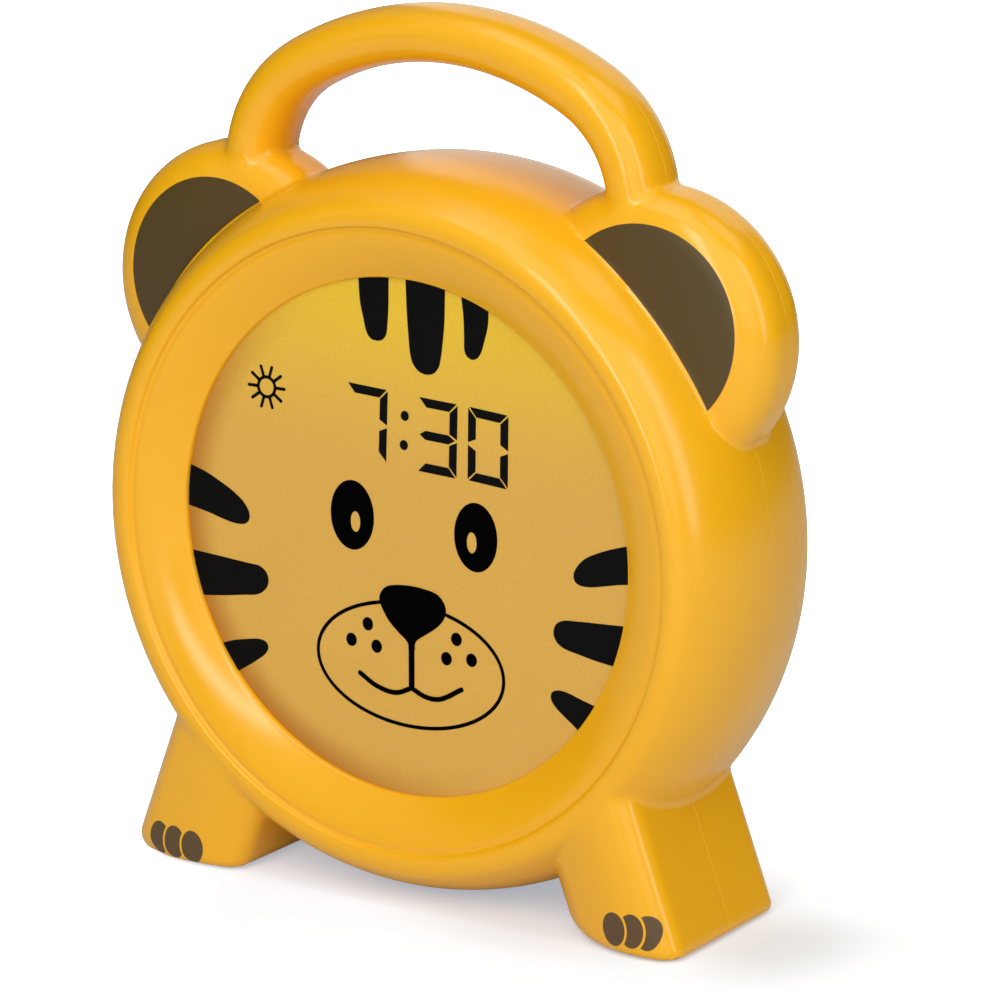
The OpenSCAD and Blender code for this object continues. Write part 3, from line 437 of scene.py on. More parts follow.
@dataclass(frozen=True)
class PanelFinish(Finish):
    """Translucent panel with a fine speckle, its top painted brighter and glowing for the lamps near it, its
    lower left edge painted darker for the bezel lip's shadow.
    """

    # Painted light: the panel's top is mixed towards this yellow, for the lamps shining from behind it.
    glow: Colour = field(default_factory=lambda: paint(240, 198, 30))
    glow_most: float = 0.85
    glow_rise: Spot = (14.0, 62.0)
    glow_lean: float = 0.05
    # Painted shadow of the bezel's lip: this darker brown is mixed over the panel's edge, between the radii
    # of rim, towards the lower left.
    shade: Colour = field(default_factory=lambda: paint(176, 110, 10))
    painted_lip_shadow_most: float = 0.9
    rim: Spot = (53.0, 62.5)
    lip_shadow_turn: float = 205.0
    lip_shadow_spread: Spot = (-0.1, 0.9)
    speck: Colour = field(default_factory=lambda: paint(120, 84, 30))
    speck_most: float = 0.10
    speck_scale: float = 2200.0
    speck_rise: Spot = (0.35, 0.75)
    speck_rough: float = 0.12
    grain: float = 0.08
    # Painted glow: the whole panel faintly emits its own colour, though it is no lamp.
    painted_glow_strength: float = 0.05

    def surface(self, tree: Tree) -> dict:
        """Builds what varies over the surface, by the shader's input.

        Args:
            tree: The material's tree.

        Returns:
            A value or a socket for each input.
        """
        x, _, z = tree.place()
        up, turn = z - BODY_UP, math.radians(self.lip_shadow_turn)
        radius = distance(x, up, (0.0, 0.0))
        # Painted light, rising from the middle to the top and a little sooner on the right.
        lit = (up + x * self.glow_lean).ramp(*self.glow_rise)
        # side and edge mask the painted lip shadow: near the window's edge, on its lower left.
        side = (x * math.cos(turn) + up * math.sin(turn)) / radius.larger(1.0)
        edge = radius.ramp(*self.rim) * side.ramp(*self.lip_shadow_spread)
        speckle = tree.noise(self.speck_scale, 3.0)
        colour = tree.mix(lit * self.glow_most, self.tone(tree), self.glow)
        colour = tree.mix(edge * self.painted_lip_shadow_most, colour, self.shade)
        colour = tree.mix(speckle.ramp(*self.speck_rise) * self.speck_most, colour, self.speck)
        return {
            "Base Color": colour,
            "Roughness": speckle * self.speck_rough + self.roughness,
            "Normal": tree.bump(speckle, self.grain, self.grain_depth),
            # The painted glow emits all the panel's painted colours, the painted light and lip shadow
            # included.
            "Emission Color": colour,
            "Emission Strength": self.painted_glow_strength,
        }


FINISHES: dict[Slot, Finish] = {
    Slot.BODY: ShellFinish("amber_shell", paint(248, 180, 24), roughness=0.22, mottle=0.02, grain=0.3),
    Slot.TRIM: Finish("brown_trim", paint(80, 62, 30), roughness=0.5),
    Slot.FACE: PanelFinish("face_panel_tint", paint(221, 170, 70), 0.42, mottle=0.03, mottle_scale=30.0),
    Slot.WHITE: Finish("white_moulding", paint(238, 236, 228)),
    Slot.GLASS: Finish("display_glass_tint", paint(150, 160, 132), roughness=0.12, coat=0.5, mottle=0.02),
    Slot.RUBBER: Finish("rubber_pad", paint(34, 34, 36), roughness=0.8, grain=0.25),
    Slot.BLACK: Finish("black_moulding", paint(30, 30, 32), roughness=0.5),
    Slot.STEEL: BrushedFinish("plated_steel", paint(200, 203, 206)),
    Slot.BOARD: Finish("solder_resist", paint(26, 104, 60), roughness=0.35, coat=0.2, mottle=0.15),
    Slot.SLEEVE: Finish("cell_sleeve", paint(62, 124, 172), roughness=0.25, coat=0.3),
    Slot.LAMP: Finish("lamp_resin_tint", paint(246, 222, 130), roughness=0.2, coat=0.4),
    Slot.RIBBON: Finish("ribbon_film_tint", paint(196, 138, 50), roughness=0.22, coat=0.3),
    Slot.PAPER: Finish("cone_paper", paint(44, 43, 42), roughness=0.85, grain=0.4, mottle=0.2),
    Slot.WIRE: Finish("wire_sleeve_tint", paint(158, 44, 40), roughness=0.4),
}
INK = Finish("printed_ink", paint(12, 12, 12), roughness=0.55, mottle=0.12, grain=0.08, specular=0.05)
EYE_INK = Finish("eye_ink", paint(2, 2, 2), roughness=0.6, mottle=0.12, grain=0.05, specular=0.01)

NODE_SLOTS: dict[Slot, tuple[str, ...]] = {
    Slot.FACE: ("face_panel",),
    Slot.RUBBER: ("panel_gasket", "foot_pads"),
    Slot.GLASS: ("lcd_glass",),
    Slot.WHITE: ("lcd_frame", "ribbon_connector", "diffuser_sheet", "light_box", "switch_lever"),
    Slot.RIBBON: ("lcd_ribbon",),
    Slot.LAMP: ("lamps",),
    Slot.BOARD: ("lamp_board", "main_board", "inlet_board"),
    Slot.BLACK: ("main_chips", "key_switches", "buffer_capacitor"),
    Slot.TRIM: ("switch_knob",),
    Slot.PAPER: ("speaker_cone",),
    Slot.SLEEVE: ("battery_cells",),
    Slot.WIRE: ("battery_wires", "speaker_wires", "lamp_wires", "inlet_wires"),
}

# ---- outlines and solids


def arc(centre: Spot, rx: float, ry: float, start: float, end: float, count: int) -> Array:
    """Points of an elliptical arc, its ends included.

    Args:
        centre: The ellipse's centre.
        rx: Radius along the first axis.
        ry: Radius along the second axis.
        start: Start of the arc, in degrees.
        end: End of the arc, in degrees.
        count: Steps from end to end.

    Returns:
        The points.
    """
    turn = np.radians(np.linspace(start, end, count + 1))
    return np.stack([centre[0] + rx * np.cos(turn), centre[1] + ry * np.sin(turn)], 1)


def joined(*parts: Iterable) -> Array:
    """Lists of points in one list."""
    return np.concatenate([np.asarray(p, float).reshape(-1, 2) for p in parts])


def spline(points: Iterable, closed: bool = True, steps: int = 8) -> Array:
    """A smooth line through points.

    Args:
        points: The points that it passes.
        closed: Whether it returns to its first point.
        steps: Steps from point to point.

    Returns:
        The line's points.
    """
    p = np.asarray(points, float)
    if closed:
        p = np.concatenate([p[-1:], p, p[:2]])
    else:
        p = np.concatenate([2 * p[:1] - p[1:2], p, 2 * p[-1:] - p[-2:-1]])
    line = []
    for a, b, c, d in zip(p, p[1:], p[2:], p[3:]):
        k = [math.sqrt(max(1e-9, math.dist(u, v))) for u, v in ((a, b), (b, c), (c, d))]
        m1 = (c - b) + k[1] * ((b - a) / k[0] - (c - a) / (k[0] + k[1]))
        m2 = (c - b) + k[1] * ((d - c) / k[2] - (d - b) / (k[1] + k[2]))
        for s in np.arange(steps) / steps:
            s2, s3 = s * s, s * s * s
            near = (2 * s3 - 3 * s2 + 1) * b + (s3 - 2 * s2 + s) * m1
            line.append(near + (3 * s2 - 2 * s3) * c + (s3 - s2) * m2)
    if not closed:
        line.append(p[-2])
    return np.array(line)


def stroke(line: Array, width: float, closed: bool = False, cap_steps: int = 6) -> list[Array]:
    """Outlines of a line drawn with a round pen.

    Args:
        line: The line's points.
        width: The pen's width.
        closed: Whether the line is a loop, which gives an outer and an inner outline.
        cap_steps: Steps round each end.

    Returns:
        The outlines: one, or two for a loop.
    """
    if closed:
        ahead = np.roll(line, -1, 0) - np.roll(line, 1, 0)
    else:
        ahead = np.gradient(line, axis=0)
    ahead /= np.linalg.norm(ahead, axis=1)[:, None]
    side = np.stack([ahead[:, 1], -ahead[:, 0]], 1) * (width / 2)
    if closed:
        return [line + side, line - side]
    ends = []
    for at, way in ((line[-1], ahead[-1]), (line[0], -ahead[0])):
        turn = math.degrees(math.atan2(way[1], way[0]))
        ends.append(arc(tuple(at), width / 2, width / 2, turn - 90, turn + 90, cap_steps)[1:-1])
    return [joined(line + side, ends[0], (line - side)[::-1], ends[1])]


@dataclass(frozen=True)
class Outline:
    """A rectangle with rounded corners in the face's plane; a circle where nothing of its sides is left."""

    x: float
    up: float
    w: float
    h: float
    r: float
    steps: int = 8

    def points(self, grow: float = 0.0) -> Array:
        """The outline's points, anticlockwise, moved outwards by a distance.

        Args:
            grow: The distance.

        Returns:
            The points.
        """
        r = max(self.r + grow, 0.01)
        cx, cy = self.w / 2 - self.r, self.h / 2 - self.r
        corners = [(cx, cy), (-cx, cy), (-cx, -cy), (cx, -cy)]
        found = [
            arc((self.x + a, self.up + b), r, r, 90 * i, 90 * (i + 1), self.steps)
            for i, (a, b) in enumerate(corners)
        ]
        line = joined(*found)
        keep = np.linalg.norm(line - np.roll(line, 1, 0), axis=1) > 1e-5
        return line[keep]


def disc(x: float, up: float, r: float, steps: int = 12) -> Outline:
    """A round outline."""
    return Outline(x, up, 2 * r, 2 * r, r, steps)


def skin(rings: Sequence[Array]) -> Part:
    """A closed solid through rings of equally many points, with a flat face on each end.

    Args:
        rings: The rings, in order.

    Returns:
        The solid's points and faces.
    """
    count, n = len(rings), len(rings[0])
    faces: list[Sequence[int]] = [list(range(n))[::-1], [(count - 1) * n + i for i in range(n)]]
    for a in range(count - 1):
        for i in range(n):
            j = (i + 1) % n
            faces.append((a * n + i, a * n + j, (a + 1) * n + j, (a + 1) * n + i))
    return np.concatenate(rings), faces


def loft(outline: Outline, levels: Iterable[Spot]) -> Part:
    """A solid through levels, each a depth and how far the outline moves outwards there.

    Args:
        outline: The outline.
        levels: The levels, from the lowest depth up.

    Returns:
        The solid.
    """
    rings = []
    for depth, grow in levels:
        flat = outline.points(grow)
        rings.append(np.column_stack([flat, np.full(len(flat), depth)]))
    return skin(rings)


def post(outline: Outline, low: float, high: float, grow: float = 0.0) -> Part:
    """A straight solid between two depths, from an outline moved outwards by a distance."""
    return loft(outline, [(low, grow), (high, grow)])


def pocket(outline: Outline, top: float, deep: float, edge: float = 0.35) -> Part:
    """A cutter from outside a face down to a pocket's floor, which breaks the pocket's edge.

    Args:
        outline: The pocket's outline.
        top: Depth of the face.
        deep: Depth of the floor.
        edge: Width of the broken edge.

    Returns:
        The cutter.
    """
    middle = edge * EDGE_ROUND
    rim = [(top - CUT_CLEAR, edge), (top, edge), (top + middle, middle), (top + edge, 0.0)]
    return loft(outline, [*rim, (deep, 0.0)])


def spin(profile: Iterable[Spot], sides: int, x: float = 0.0, up: float = 0.0) -> Part:
    """A turned solid about a line along the depth, from its outline of radius and depth.

    Args:
        profile: The outline.
        sides: Sides of the turned shape.
        x: Place of the line to the right.
        up: Height of the line.

    Returns:
        The solid.
    """
    turn = np.arange(sides) * math.tau / sides
    cos, sin = np.cos(turn), np.sin(turn)
    return skin([np.stack([x + r * cos, up + r * sin, np.full(sides, t)], 1) for r, t in profile])


def slab(outline: Array, low: float, high: float) -> Part:
    """A flat piece between two depths.

    Args:
        outline: The piece's outline.
        low: The lower depth.
        high: The higher depth.

    Returns:
        The solid.
    """
    area = np.sum(outline[:, 0] * np.roll(outline[:, 1], -1) - np.roll(outline[:, 0], -1) * outline[:, 1])
    flat = outline if area > 0 else outline[::-1]
    return skin([np.column_stack([flat, np.full(len(flat), depth)]) for depth in (low, high)])


def band(outer: Array, inner: Array, low: float, high: float) -> Part:
    """A flat loop between an outer and an inner outline of equally many points.

    Args:
        outer: The outer outline.
        inner: The inner outline.
        low: The lower depth.
        high: The higher depth.

    Returns:
        The solid.
    """
    n = len(outer)
    rings = [
        np.column_stack([line, np.full(n, depth)])
        for line, depth in ((outer, low), (outer, high), (inner, high), (inner, low))
    ]
    faces = [
        (a * n + i, a * n + (i + 1) % n, (a + 1) % 4 * n + (i + 1) % n, (a + 1) % 4 * n + i)
        for a in range(4)
        for i in range(n)
    ]
    return np.concatenate(rings), faces


def linked(name: str, data: bpy.types.ID) -> bpy.types.Object:
    """A new object in the scene.

    Args:
        name: Its name.
        data: Its mesh, lamp or camera.

    Returns:
        The object.
    """
    obj = bpy.data.objects.new(name, data)
    bpy.context.scene.collection.objects.link(obj)
    return obj


def evaluated(obj: bpy.types.Object) -> bpy.types.Mesh:
    """The mesh that an object's modifiers make, as a plain mesh.

    Args:
        obj: The object, which loses its modifiers.

    Returns:
        The mesh.
    """
    bpy.context.view_layer.update()
    graph = bpy.context.evaluated_depsgraph_get()
    mesh = bpy.data.meshes.new_from_object(obj.evaluated_get(graph))
    obj.modifiers.clear()
    return mesh


class Solid:
    """A closed mesh in the face frame that other solids are added to or cut from."""

    def __init__(self, name: str, *parts: Part) -> None:
        """Joins parts that don't touch into one mesh.

        Args:
            name: The solid's name.
            parts: The parts.
        """
        vertices, faces, count = [], [], 0
        for points, polygons in parts:
            vertices.append(points)
            faces += [[count + i for i in polygon] for polygon in polygons]
            count += len(points)
        mesh = bpy.data.meshes.new(name)
        mesh.from_pydata(np.concatenate(vertices).tolist(), [], faces)
        self.obj = linked(name, mesh)

    @classmethod
    def wrap(cls, obj: bpy.types.Object) -> "Solid":
        """A solid from an object.

        Args:
            obj: The object, whose mesh is in the face frame.

        Returns:
            The solid.
        """
        made = cls.__new__(cls)
        made.obj = obj
        return made

    def combine(self, other: "Solid", how: Boolean) -> "Solid":
        """Changes this solid by another one, which is used up.

        Args:
            other: The solid that is added or cut away.
            how: Which of the two.

        Returns:
            This solid.
        """
        step = self.obj.modifiers.new("step", "BOOLEAN")
        step.operation, step.solver, step.object = how.value, "MANIFOLD", other.obj
        old, self.obj.data = self.obj.data, evaluated(self.obj)
        bpy.data.meshes.remove(old)
        bpy.data.objects.remove(other.obj)
        return self

    def cut(self, *parts: Part) -> "Solid":
        """Cuts parts away."""
        return self.combine(Solid("cutter", *parts), Boolean.CUT)

    def add(self, *parts: Part) -> "Solid":
        """Adds parts."""
        return self.combine(Solid("adder", *parts), Boolean.ADD)


@dataclass(frozen=True)
class Stand:
    """How the face frame stands in the frame's own axes."""

    body_up: float = BODY_UP
    seam_back: float = 0.8947
    weld: float = 1e-4
    flat: float = 0.99998

    def matrix(self) -> Matrix:
        """The matrix from the face frame, in millimetres, to the frame, in metres."""
        move = Matrix.Translation((0.0, self.seam_back * MM, self.body_up * MM))
        return move @ Matrix.Rotation(math.pi / 2, 4, "X") @ Matrix.Scale(MM, 4)

    def place(
        self,
        solid: Solid,
        slot: Slot,
        body: str = "root",
        replaces: Sequence[str] = (),
        finish: Finish | None = None,
        sharp: float | None = 32.0,
    ) -> None:
        """Turns a solid into a finished piece that rides on a body.

        Args:
            solid: The solid, in the face frame. The piece takes its name.
            slot: The record's slot of its material.
            body: The CAD body that it rides on.
            replaces: CAD nodes that it stands for.
            finish: What it is dressed in, where that isn't the slot's own finish.
            sharp: Angle past which an edge stays sharp, in degrees; None for flat faces.
        """
        obj, mesh = solid.obj, solid.obj.data
        mesh.name = obj.name
        work = bmesh.new()
        work.from_mesh(mesh)
        bmesh.ops.remove_doubles(work, verts=work.verts, dist=self.weld)
        bmesh.ops.recalc_face_normals(work, faces=work.faces)
        work.to_mesh(mesh)
        work.free()
        mesh.transform(self.matrix())
        mesh.materials.clear()
        mesh.materials.append((finish or FINISHES[slot]).material())
        for polygon in mesh.polygons:
            polygon.material_index = 0
        if sharp is not None:
            mesh.shade_smooth()
            mesh.set_sharp_from_angle(angle=math.radians(sharp))
            for polygon in mesh.polygons:
                polygon.use_smooth = abs(polygon.normal.y) <= self.flat
        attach(obj, body)
        if replaces:
            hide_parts(*replaces)
        LOG.info("%s: %d faces on %s", obj.name, len(mesh.polygons), body)


# ---- smooth forms


class DistanceTable:
    """Signed distance to a closed outline, kept on a fine grid and read between its points."""

    def __init__(self, outline: Array, low: Spot, high: Spot, step: float = 0.25) -> None:
        """Fills the table.

        Args:
            outline: The outline's points.
            low: The grid's lowest corner.
            high: The grid's highest corner.
            step: The grid's spacing.
        """
        self.low, self.step = np.asarray(low, float), step
        axes = [np.arange(a, b + step, step) for a, b in zip(low, high)]
        x, y = np.meshgrid(*axes, indexing="ij")
        best, odd = np.full(x.shape, 1e9), np.zeros(x.shape, bool)
        for (ax, ay), (bx, by) in zip(outline, np.roll(outline, -1, 0)):
            ex, ey = bx - ax, by - ay
            along = np.clip(((x - ax) * ex + (y - ay) * ey) / max(ex * ex + ey * ey, 1e-12), 0, 1)
            best = np.minimum(best, (x - ax - along * ex) ** 2 + (y - ay - along * ey) ** 2)
            if ay != by:
                odd ^= ((ay > y) != (by > y)) & (x < ex * (y - ay) / ey + ax)
        self.values = np.sqrt(best) * np.where(odd, -1, 1)

    def __call__(self, x: Array, y: Array) -> Array:
        """Distances at points.

        Args:
            x: The points' first coordinate.
            y: The points' second coordinate.

        Returns:
            The distances, less than 0 inside.
        """
        size = np.array(self.values.shape) - 1.001
        u, v = (x - self.low[0]) / self.step, (y - self.low[1]) / self.step
        cu, cv = np.clip(u, 0, size[0]), np.clip(v, 0, size[1])
        i, j = cu.astype(int), cv.astype(int)
        fu, fv = cu - i, cv - j
        t = self.values
        near = (t[i, j] * (1 - fu) + t[i + 1, j] * fu) * (1 - fv) + (
            t[i, j + 1] * (1 - fu) + t[i + 1, j + 1] * fu
        ) * fv
        return near + np.hypot(u - cu, v - cv) * self.step


def soft_union(a: Array, b: Array, r: float) -> Array:
    """Distance to two forms with a round fillet where they meet.

    Args:
        a: Distance to the first form.
        b: Distance to the second form.
        r: The fillet's radius.

    Returns:
        The distance to both.
    """
    return np.maximum(r, np.minimum(a, b)) - np.hypot(np.maximum(r - a, 0), np.maximum(r - b, 0))


def soft_meet(a: Array, b: Array, r: Array | float) -> Array:
    """Distance to what two forms share, with a round edge between them.

    Args:
        a: Distance to the first form.
        b: Distance to the second form.
        r: The edge's radius.

    Returns:
        The distance to what they share.
    """
    return np.minimum(-r, np.maximum(a, b)) + np.hypot(np.maximum(r + a, 0), np.maximum(r + b, 0))


@dataclass(frozen=True)
class Body:
    """The round body: a curved side, a rolled front edge and a ring that slopes in to the window."""

    r: float = 88.0
    wall: float = 2.2
    side_in: float = 16.0
    side_reach: float = 30.0
    side_turn: float = 58.0
    back_in: float = 6.5
    back_depth: float = 25.4
    roll_r: float = 5.0
    groove_r: float = 74.8
    groove_drop: float = 1.0
    window_r: float = 62.0
    window_t: float = 20.4
    ring_bulge: float = 1.0
    crease: float = 0.4
    crease_r: float = 74.1
    crease_w: float = 0.7
    crease_open: float = 0.25
    crease_top: Spot = (0.05, 0.35)
    crease_foot: Spot = (0.12, 0.16)
    lip_r: float = 0.8
    lip_drop: float = 0.4
    lip_turn: float = 127.4
    panel_set_back: float = 1.0
    panel_t: float = 2.0
    pocket_r: float = 66.2
    collar_w: float = 1.8
    collar_reach: float = 0.8
    under_drop: float = 1.6
    mouth_w: float = 2.5
    mouth_t: float = 3.2
    mouth_end: float = 40.0
    past_axis: float = 30.0
    room: tuple[Spot, Spot] = ((0.0, -33.0), (134.0, 35.0))

    @property
    def turn(self) -> float:
        """Direction of the side's normal where the roll takes over, in degrees."""
        a = math.radians(self.side_turn)
        return math.degrees(math.atan2(self.side_in * math.sin(a), self.side_reach * math.cos(a)))

    @property
    def roll_centre(self) -> Spot:
        """Centre of the rolled edge, as radius and depth.

        Returns:
            The centre.
        """
        a, n = math.radians(self.side_turn), math.radians(self.turn)
        x = self.r - self.side_in + self.side_in * math.cos(a)
        return x - self.roll_r * math.cos(n), self.side_reach * math.sin(a) - self.roll_r * math.sin(n)

    @property
    def front_depth(self) -> float:
        """Depth of the roll's crest."""
        return self.roll_centre[1] + self.roll_r

    def ring_line(self, count: int = 40) -> Array:
        """The sloping ring from the crease to the window.

        Args:
            count: Steps from end to end.

        Returns:
            Its points, as radius and depth.
        """
        s = np.linspace(0, 1, count + 1)
        low = self.front_depth - self.groove_drop
        t = low + (self.window_t - low) * s + self.ring_bulge * 4 * s * (1 - s)
        radius = self.groove_r + (self.window_r - self.groove_r) * s
        dip = self.crease * np.exp(-(((radius - self.crease_r) / self.crease_w) ** 2))
        return np.stack([radius, t - dip], 1)

    def outline(self) -> Array:
        """The whole outline, front and rear, run on past the axis.

        Returns:
            Its points, as radius and depth.
        """
        (cx, ct), r = self.roll_centre, self.roll_r
        end = 180 - math.degrees(math.acos((cx - self.groove_r - self.crease_open) / r))
        ring = self.ring_line()
        lip = ct + r * math.sin(math.radians(end))
        (top_in, top_down), (foot_in, foot_up) = self.crease_top, self.crease_foot
        crease = [(self.groove_r - top_in, lip - top_down), (self.groove_r - foot_in, ring[0][1] + foot_up)]
        side = arc((self.r - self.side_in, 0), self.side_in, self.side_reach, 0, self.side_turn, 60)
        roll = arc((cx, ct), r, r, self.turn, end, 48)[1:]
        rear = arc((self.r - self.back_in, 0), self.back_in, self.back_depth, -90, 0, 40)
        ends = [(-self.past_axis, -self.back_depth)], [(-self.past_axis, self.window_t)]
        return joined(ends[0], rear, side[1:], roll, crease, ring[1:], ends[1])

    def front_room(self) -> list[Spot]:
        """The room inside the front shell and its window, as a turned outline.

        Returns:
            The points, as radius and depth.
        """
        (cx, ct), wall = self.roll_centre, self.wall
        middle, rx, reach = self.r - self.side_in, self.side_in - wall, self.side_reach - wall
        side = arc((middle, 0), rx, reach, 0, self.side_turn, 12)
        roll = arc((cx, ct), self.roll_r - wall, self.roll_r - wall, self.turn + 8, 90, 3)
        seat = self.window_t - self.panel_set_back
        low = seat - self.panel_t - self.collar_reach
        under = self.front_depth - self.groove_drop - wall
        collar = self.pocket_r + self.collar_w
        edge = self.lip_r
        lip = arc((self.window_r + edge, self.window_t - self.lip_drop), edge, edge, 180, self.lip_turn, 5)
        shelf = under - self.under_drop
        inside = [(self.groove_r, under), (collar, shelf), (collar, low), (self.pocket_r, low)]
        mouth = self.window_r + self.mouth_w
        top = [(mouth, self.window_t + self.mouth_t), (mouth, self.mouth_end)]
        seats = [(self.pocket_r, seat), (self.window_r, seat)]
        return [*joined([(self.r - wall, -1)], side, roll, inside, seats, lip, top)]

    def rear_room(self) -> list[Spot]:
        """The room inside the rear shell, as a turned outline.

        Returns:
            The points, as radius and depth.
        """
        wall = self.wall
        side = arc((self.r - self.back_in, 0), self.back_in - wall, self.back_depth - wall, -90, 0, 12)
        return [*joined(side, [(self.r - wall, 1)])]


@dataclass(frozen=True)
class Ear:
    """A round ear with a domed face and a full rounded edge."""

    x: float = 57.01
    up: float = 52.2
    r: float = 34.4
    half: float = 11.9
    edge_r: float = 9.6
    dome: float = 8.0
    fillet: float = 0.8
    past_axis: float = 20.0
    room: tuple[Spot, Spot] = ((0.0, -32.0), (60.0, 32.0))

    def table(self) -> DistanceTable:
        """Distance to one ear, by distance from its middle and by depth.

        Returns:
            The table.
        """
        c_r, c_t = self.r - self.edge_r, self.half - self.edge_r
        big = self.edge_r + c_r / math.sin(math.radians(self.dome))
        low = c_t - c_r / math.tan(math.radians(self.dome))
        face = arc((0, low), big, big, 90, 90 - self.dome, 24)
        edge = arc((c_r, c_t), self.edge_r, self.edge_r, 90 - self.dome, 0, 48)[1:]
        half = joined([(-self.past_axis, face[0][1])], face, edge)
        return DistanceTable(joined(half, half[::-1] * (1, -1)), *self.room)


@dataclass(frozen=True)
class Handle:
    """A carrying handle bent as an arch of three arcs, with an oval grip."""

    half_w: float = 53.2
    up: float = 81.0
    rise: float = 35.35
    shoulder_r: float = 29.0
    grip_r: float = 6.8
    grip_t: float = 10.4
    power: float = 2 / 0.86
    leg: float = 12.0
    fillet: float = 1.3

    def distance(self, x: Array, up: Array, t: Array) -> Array:
        """Distance to the handle, close to it.

        Args:
            x: The points' places to the right.
            up: Their heights.
            t: Their depths.

        Returns:
            The distances.
        """
        s_x = self.half_w - self.shoulder_r
        crown = (s_x**2 + self.rise**2 - self.shoulder_r**2) / (2 * (self.rise - self.shoulder_r))
        middle = self.up + self.rise - crown
        split = math.atan2(crown - self.rise, s_x)
        ax = np.abs(x)
        on_crown = np.abs(np.hypot(ax, up - middle) - crown)
        on_shoulder = np.abs(np.hypot(ax - s_x, up - self.up) - self.shoulder_r)
        on_leg = np.hypot(ax - self.half_w, np.maximum(self.up - self.leg - up, 0))
        away = np.where(np.arctan2(up - middle, ax) > split, on_crown, on_shoulder)
        away = np.where(up < self.up, on_leg, away)
        n, a, b = self.power, self.grip_r, self.grip_t
        u, v = away / a, np.abs(t) / b
        size = (u**n + v**n) ** (1 / n) + 1e-9
        slope = np.hypot((u / size) ** (n - 1) / a, (v / size) ** (n - 1) / b)
        return (size - 1) / np.maximum(slope, 1 / (2 * b))


@dataclass(frozen=True)
class Foot:
    """A foot that leans outwards, with a bowed front. A pair of values is for the left and the right foot."""

    out_x: float = 79.0
    in_x: float = 44.6
    lean: float = 20.5
    front: float = 26.9
    back: float = 22.0
    bow: Spot = (2.5, 5.5)
    bow_out: Spot = (-0.1, 0.4)
    round_in: Spot = (4.5, 9.0)
    round_out: Spot = (6.0, 5.0)
    round_rear: float = 4.0
    edge: float = 2.4
    edge_in: Spot = (2.6, 7.0)
    edge_out: Spot = (7.0, 2.4)
    edge_from: float = 0.1
    edge_over: float = 0.8
    sole: float = -88.0
    root_r: float = 79.0
    fillet: float = 0.8
    pads_x: float = 63.0
    pad_r: float = 4.7
    pad_t: float = 1.4
    pads_t: Spot = (13.3, -8.5)

    def distance(self, x: Array, up: Array, t: Array) -> Array:
        """Distance to the two feet.

        Args:
            x: The points' places to the right.
            up: Their heights.
            t: Their depths.

        Returns:
            The distances.
        """
        a = math.radians(self.lean)
        half = (self.out_x - self.in_x) / 2 * math.cos(a)
        pairs = (self.bow, self.bow_out, self.round_in, self.round_out, self.edge_in, self.edge_out)
        bow, bow_out, round_in, round_out, edge_in, edge_out = (np.where(x < 0, *pair) for pair in pairs)
        dx, dy = np.abs(x) - (self.out_x + self.in_x) / 2, up - self.sole
        u = dx * math.cos(a) + dy * math.sin(a)
        ahead = np.clip(t / self.front, 0, 1)
        v = t - (self.front - self.back) / 2 + bow * (u / half - bow_out) ** 2 * ahead
        deep = (self.front + self.back) / 2
        corner = np.where(v > 0, np.where(u < 0, round_in, round_out), self.round_rear)
        qx, qy = np.abs(u) - half + corner, np.abs(v) - deep + corner
        plan = np.minimum(np.maximum(qx, qy), 0) + np.hypot(np.maximum(qx, 0), np.maximum(qy, 0)) - corner
        side = np.clip((np.abs(u) / half - self.edge_from) / self.edge_over, 0, 1)
        edge = np.where(u < 0, edge_in, edge_out) - self.edge
        edge = self.edge + edge * side * side * (3 - 2 * side) * ahead * ahead
        above = np.maximum(self.root_r - np.hypot(x, up), up)
        return np.maximum(soft_meet(plan, self.sole - up, edge), above)


class Form:
    """The clock's whole outer form as one distance field."""

    def __init__(self, body: Body, ear: Ear, handle: Handle, foot: Foot) -> None:
        """Builds the tables that the field reads.

        Args:
            body: The body's sizes.
            ear: An ear's sizes.
            handle: The handle's sizes.
            foot: A foot's sizes.
        """
        self.ear, self.handle, self.foot = ear, handle, foot
        self.body_table = DistanceTable(body.outline(), *body.room)
        self.ear_table = ear.table()

    def __call__(self, x: Array, up: Array, t: Array) -> Array:
        """Distances at points.

        Args:
            x: The points' places to the right.
            up: Their heights.
            t: Their depths.

        Returns:
            The distances, less than 0 inside.
        """
        ear, handle, foot = self.ear, self.handle, self.foot
        form = self.body_table(np.hypot(x, up), t)
        form = soft_union(form, self.ear_table(np.hypot(np.abs(x) - ear.x, up - ear.up), t), ear.fillet)
        form = soft_union(form, handle.distance(x, up, t), handle.fillet)
        return soft_union(form, foot.distance(x, up, t), foot.fillet)


def rows(*stretches: Stretch) -> Array:
    """Grid lines over stretches that follow each other: start, end and spacing.

    Args:
        stretches: The stretches.

    Returns:
        The lines' places.
    """
    lines = [np.linspace(a, b, max(1, round((b - a) / step)), endpoint=False) for a, b, step in stretches]
    return np.append(np.concatenate(lines), stretches[-1][1])


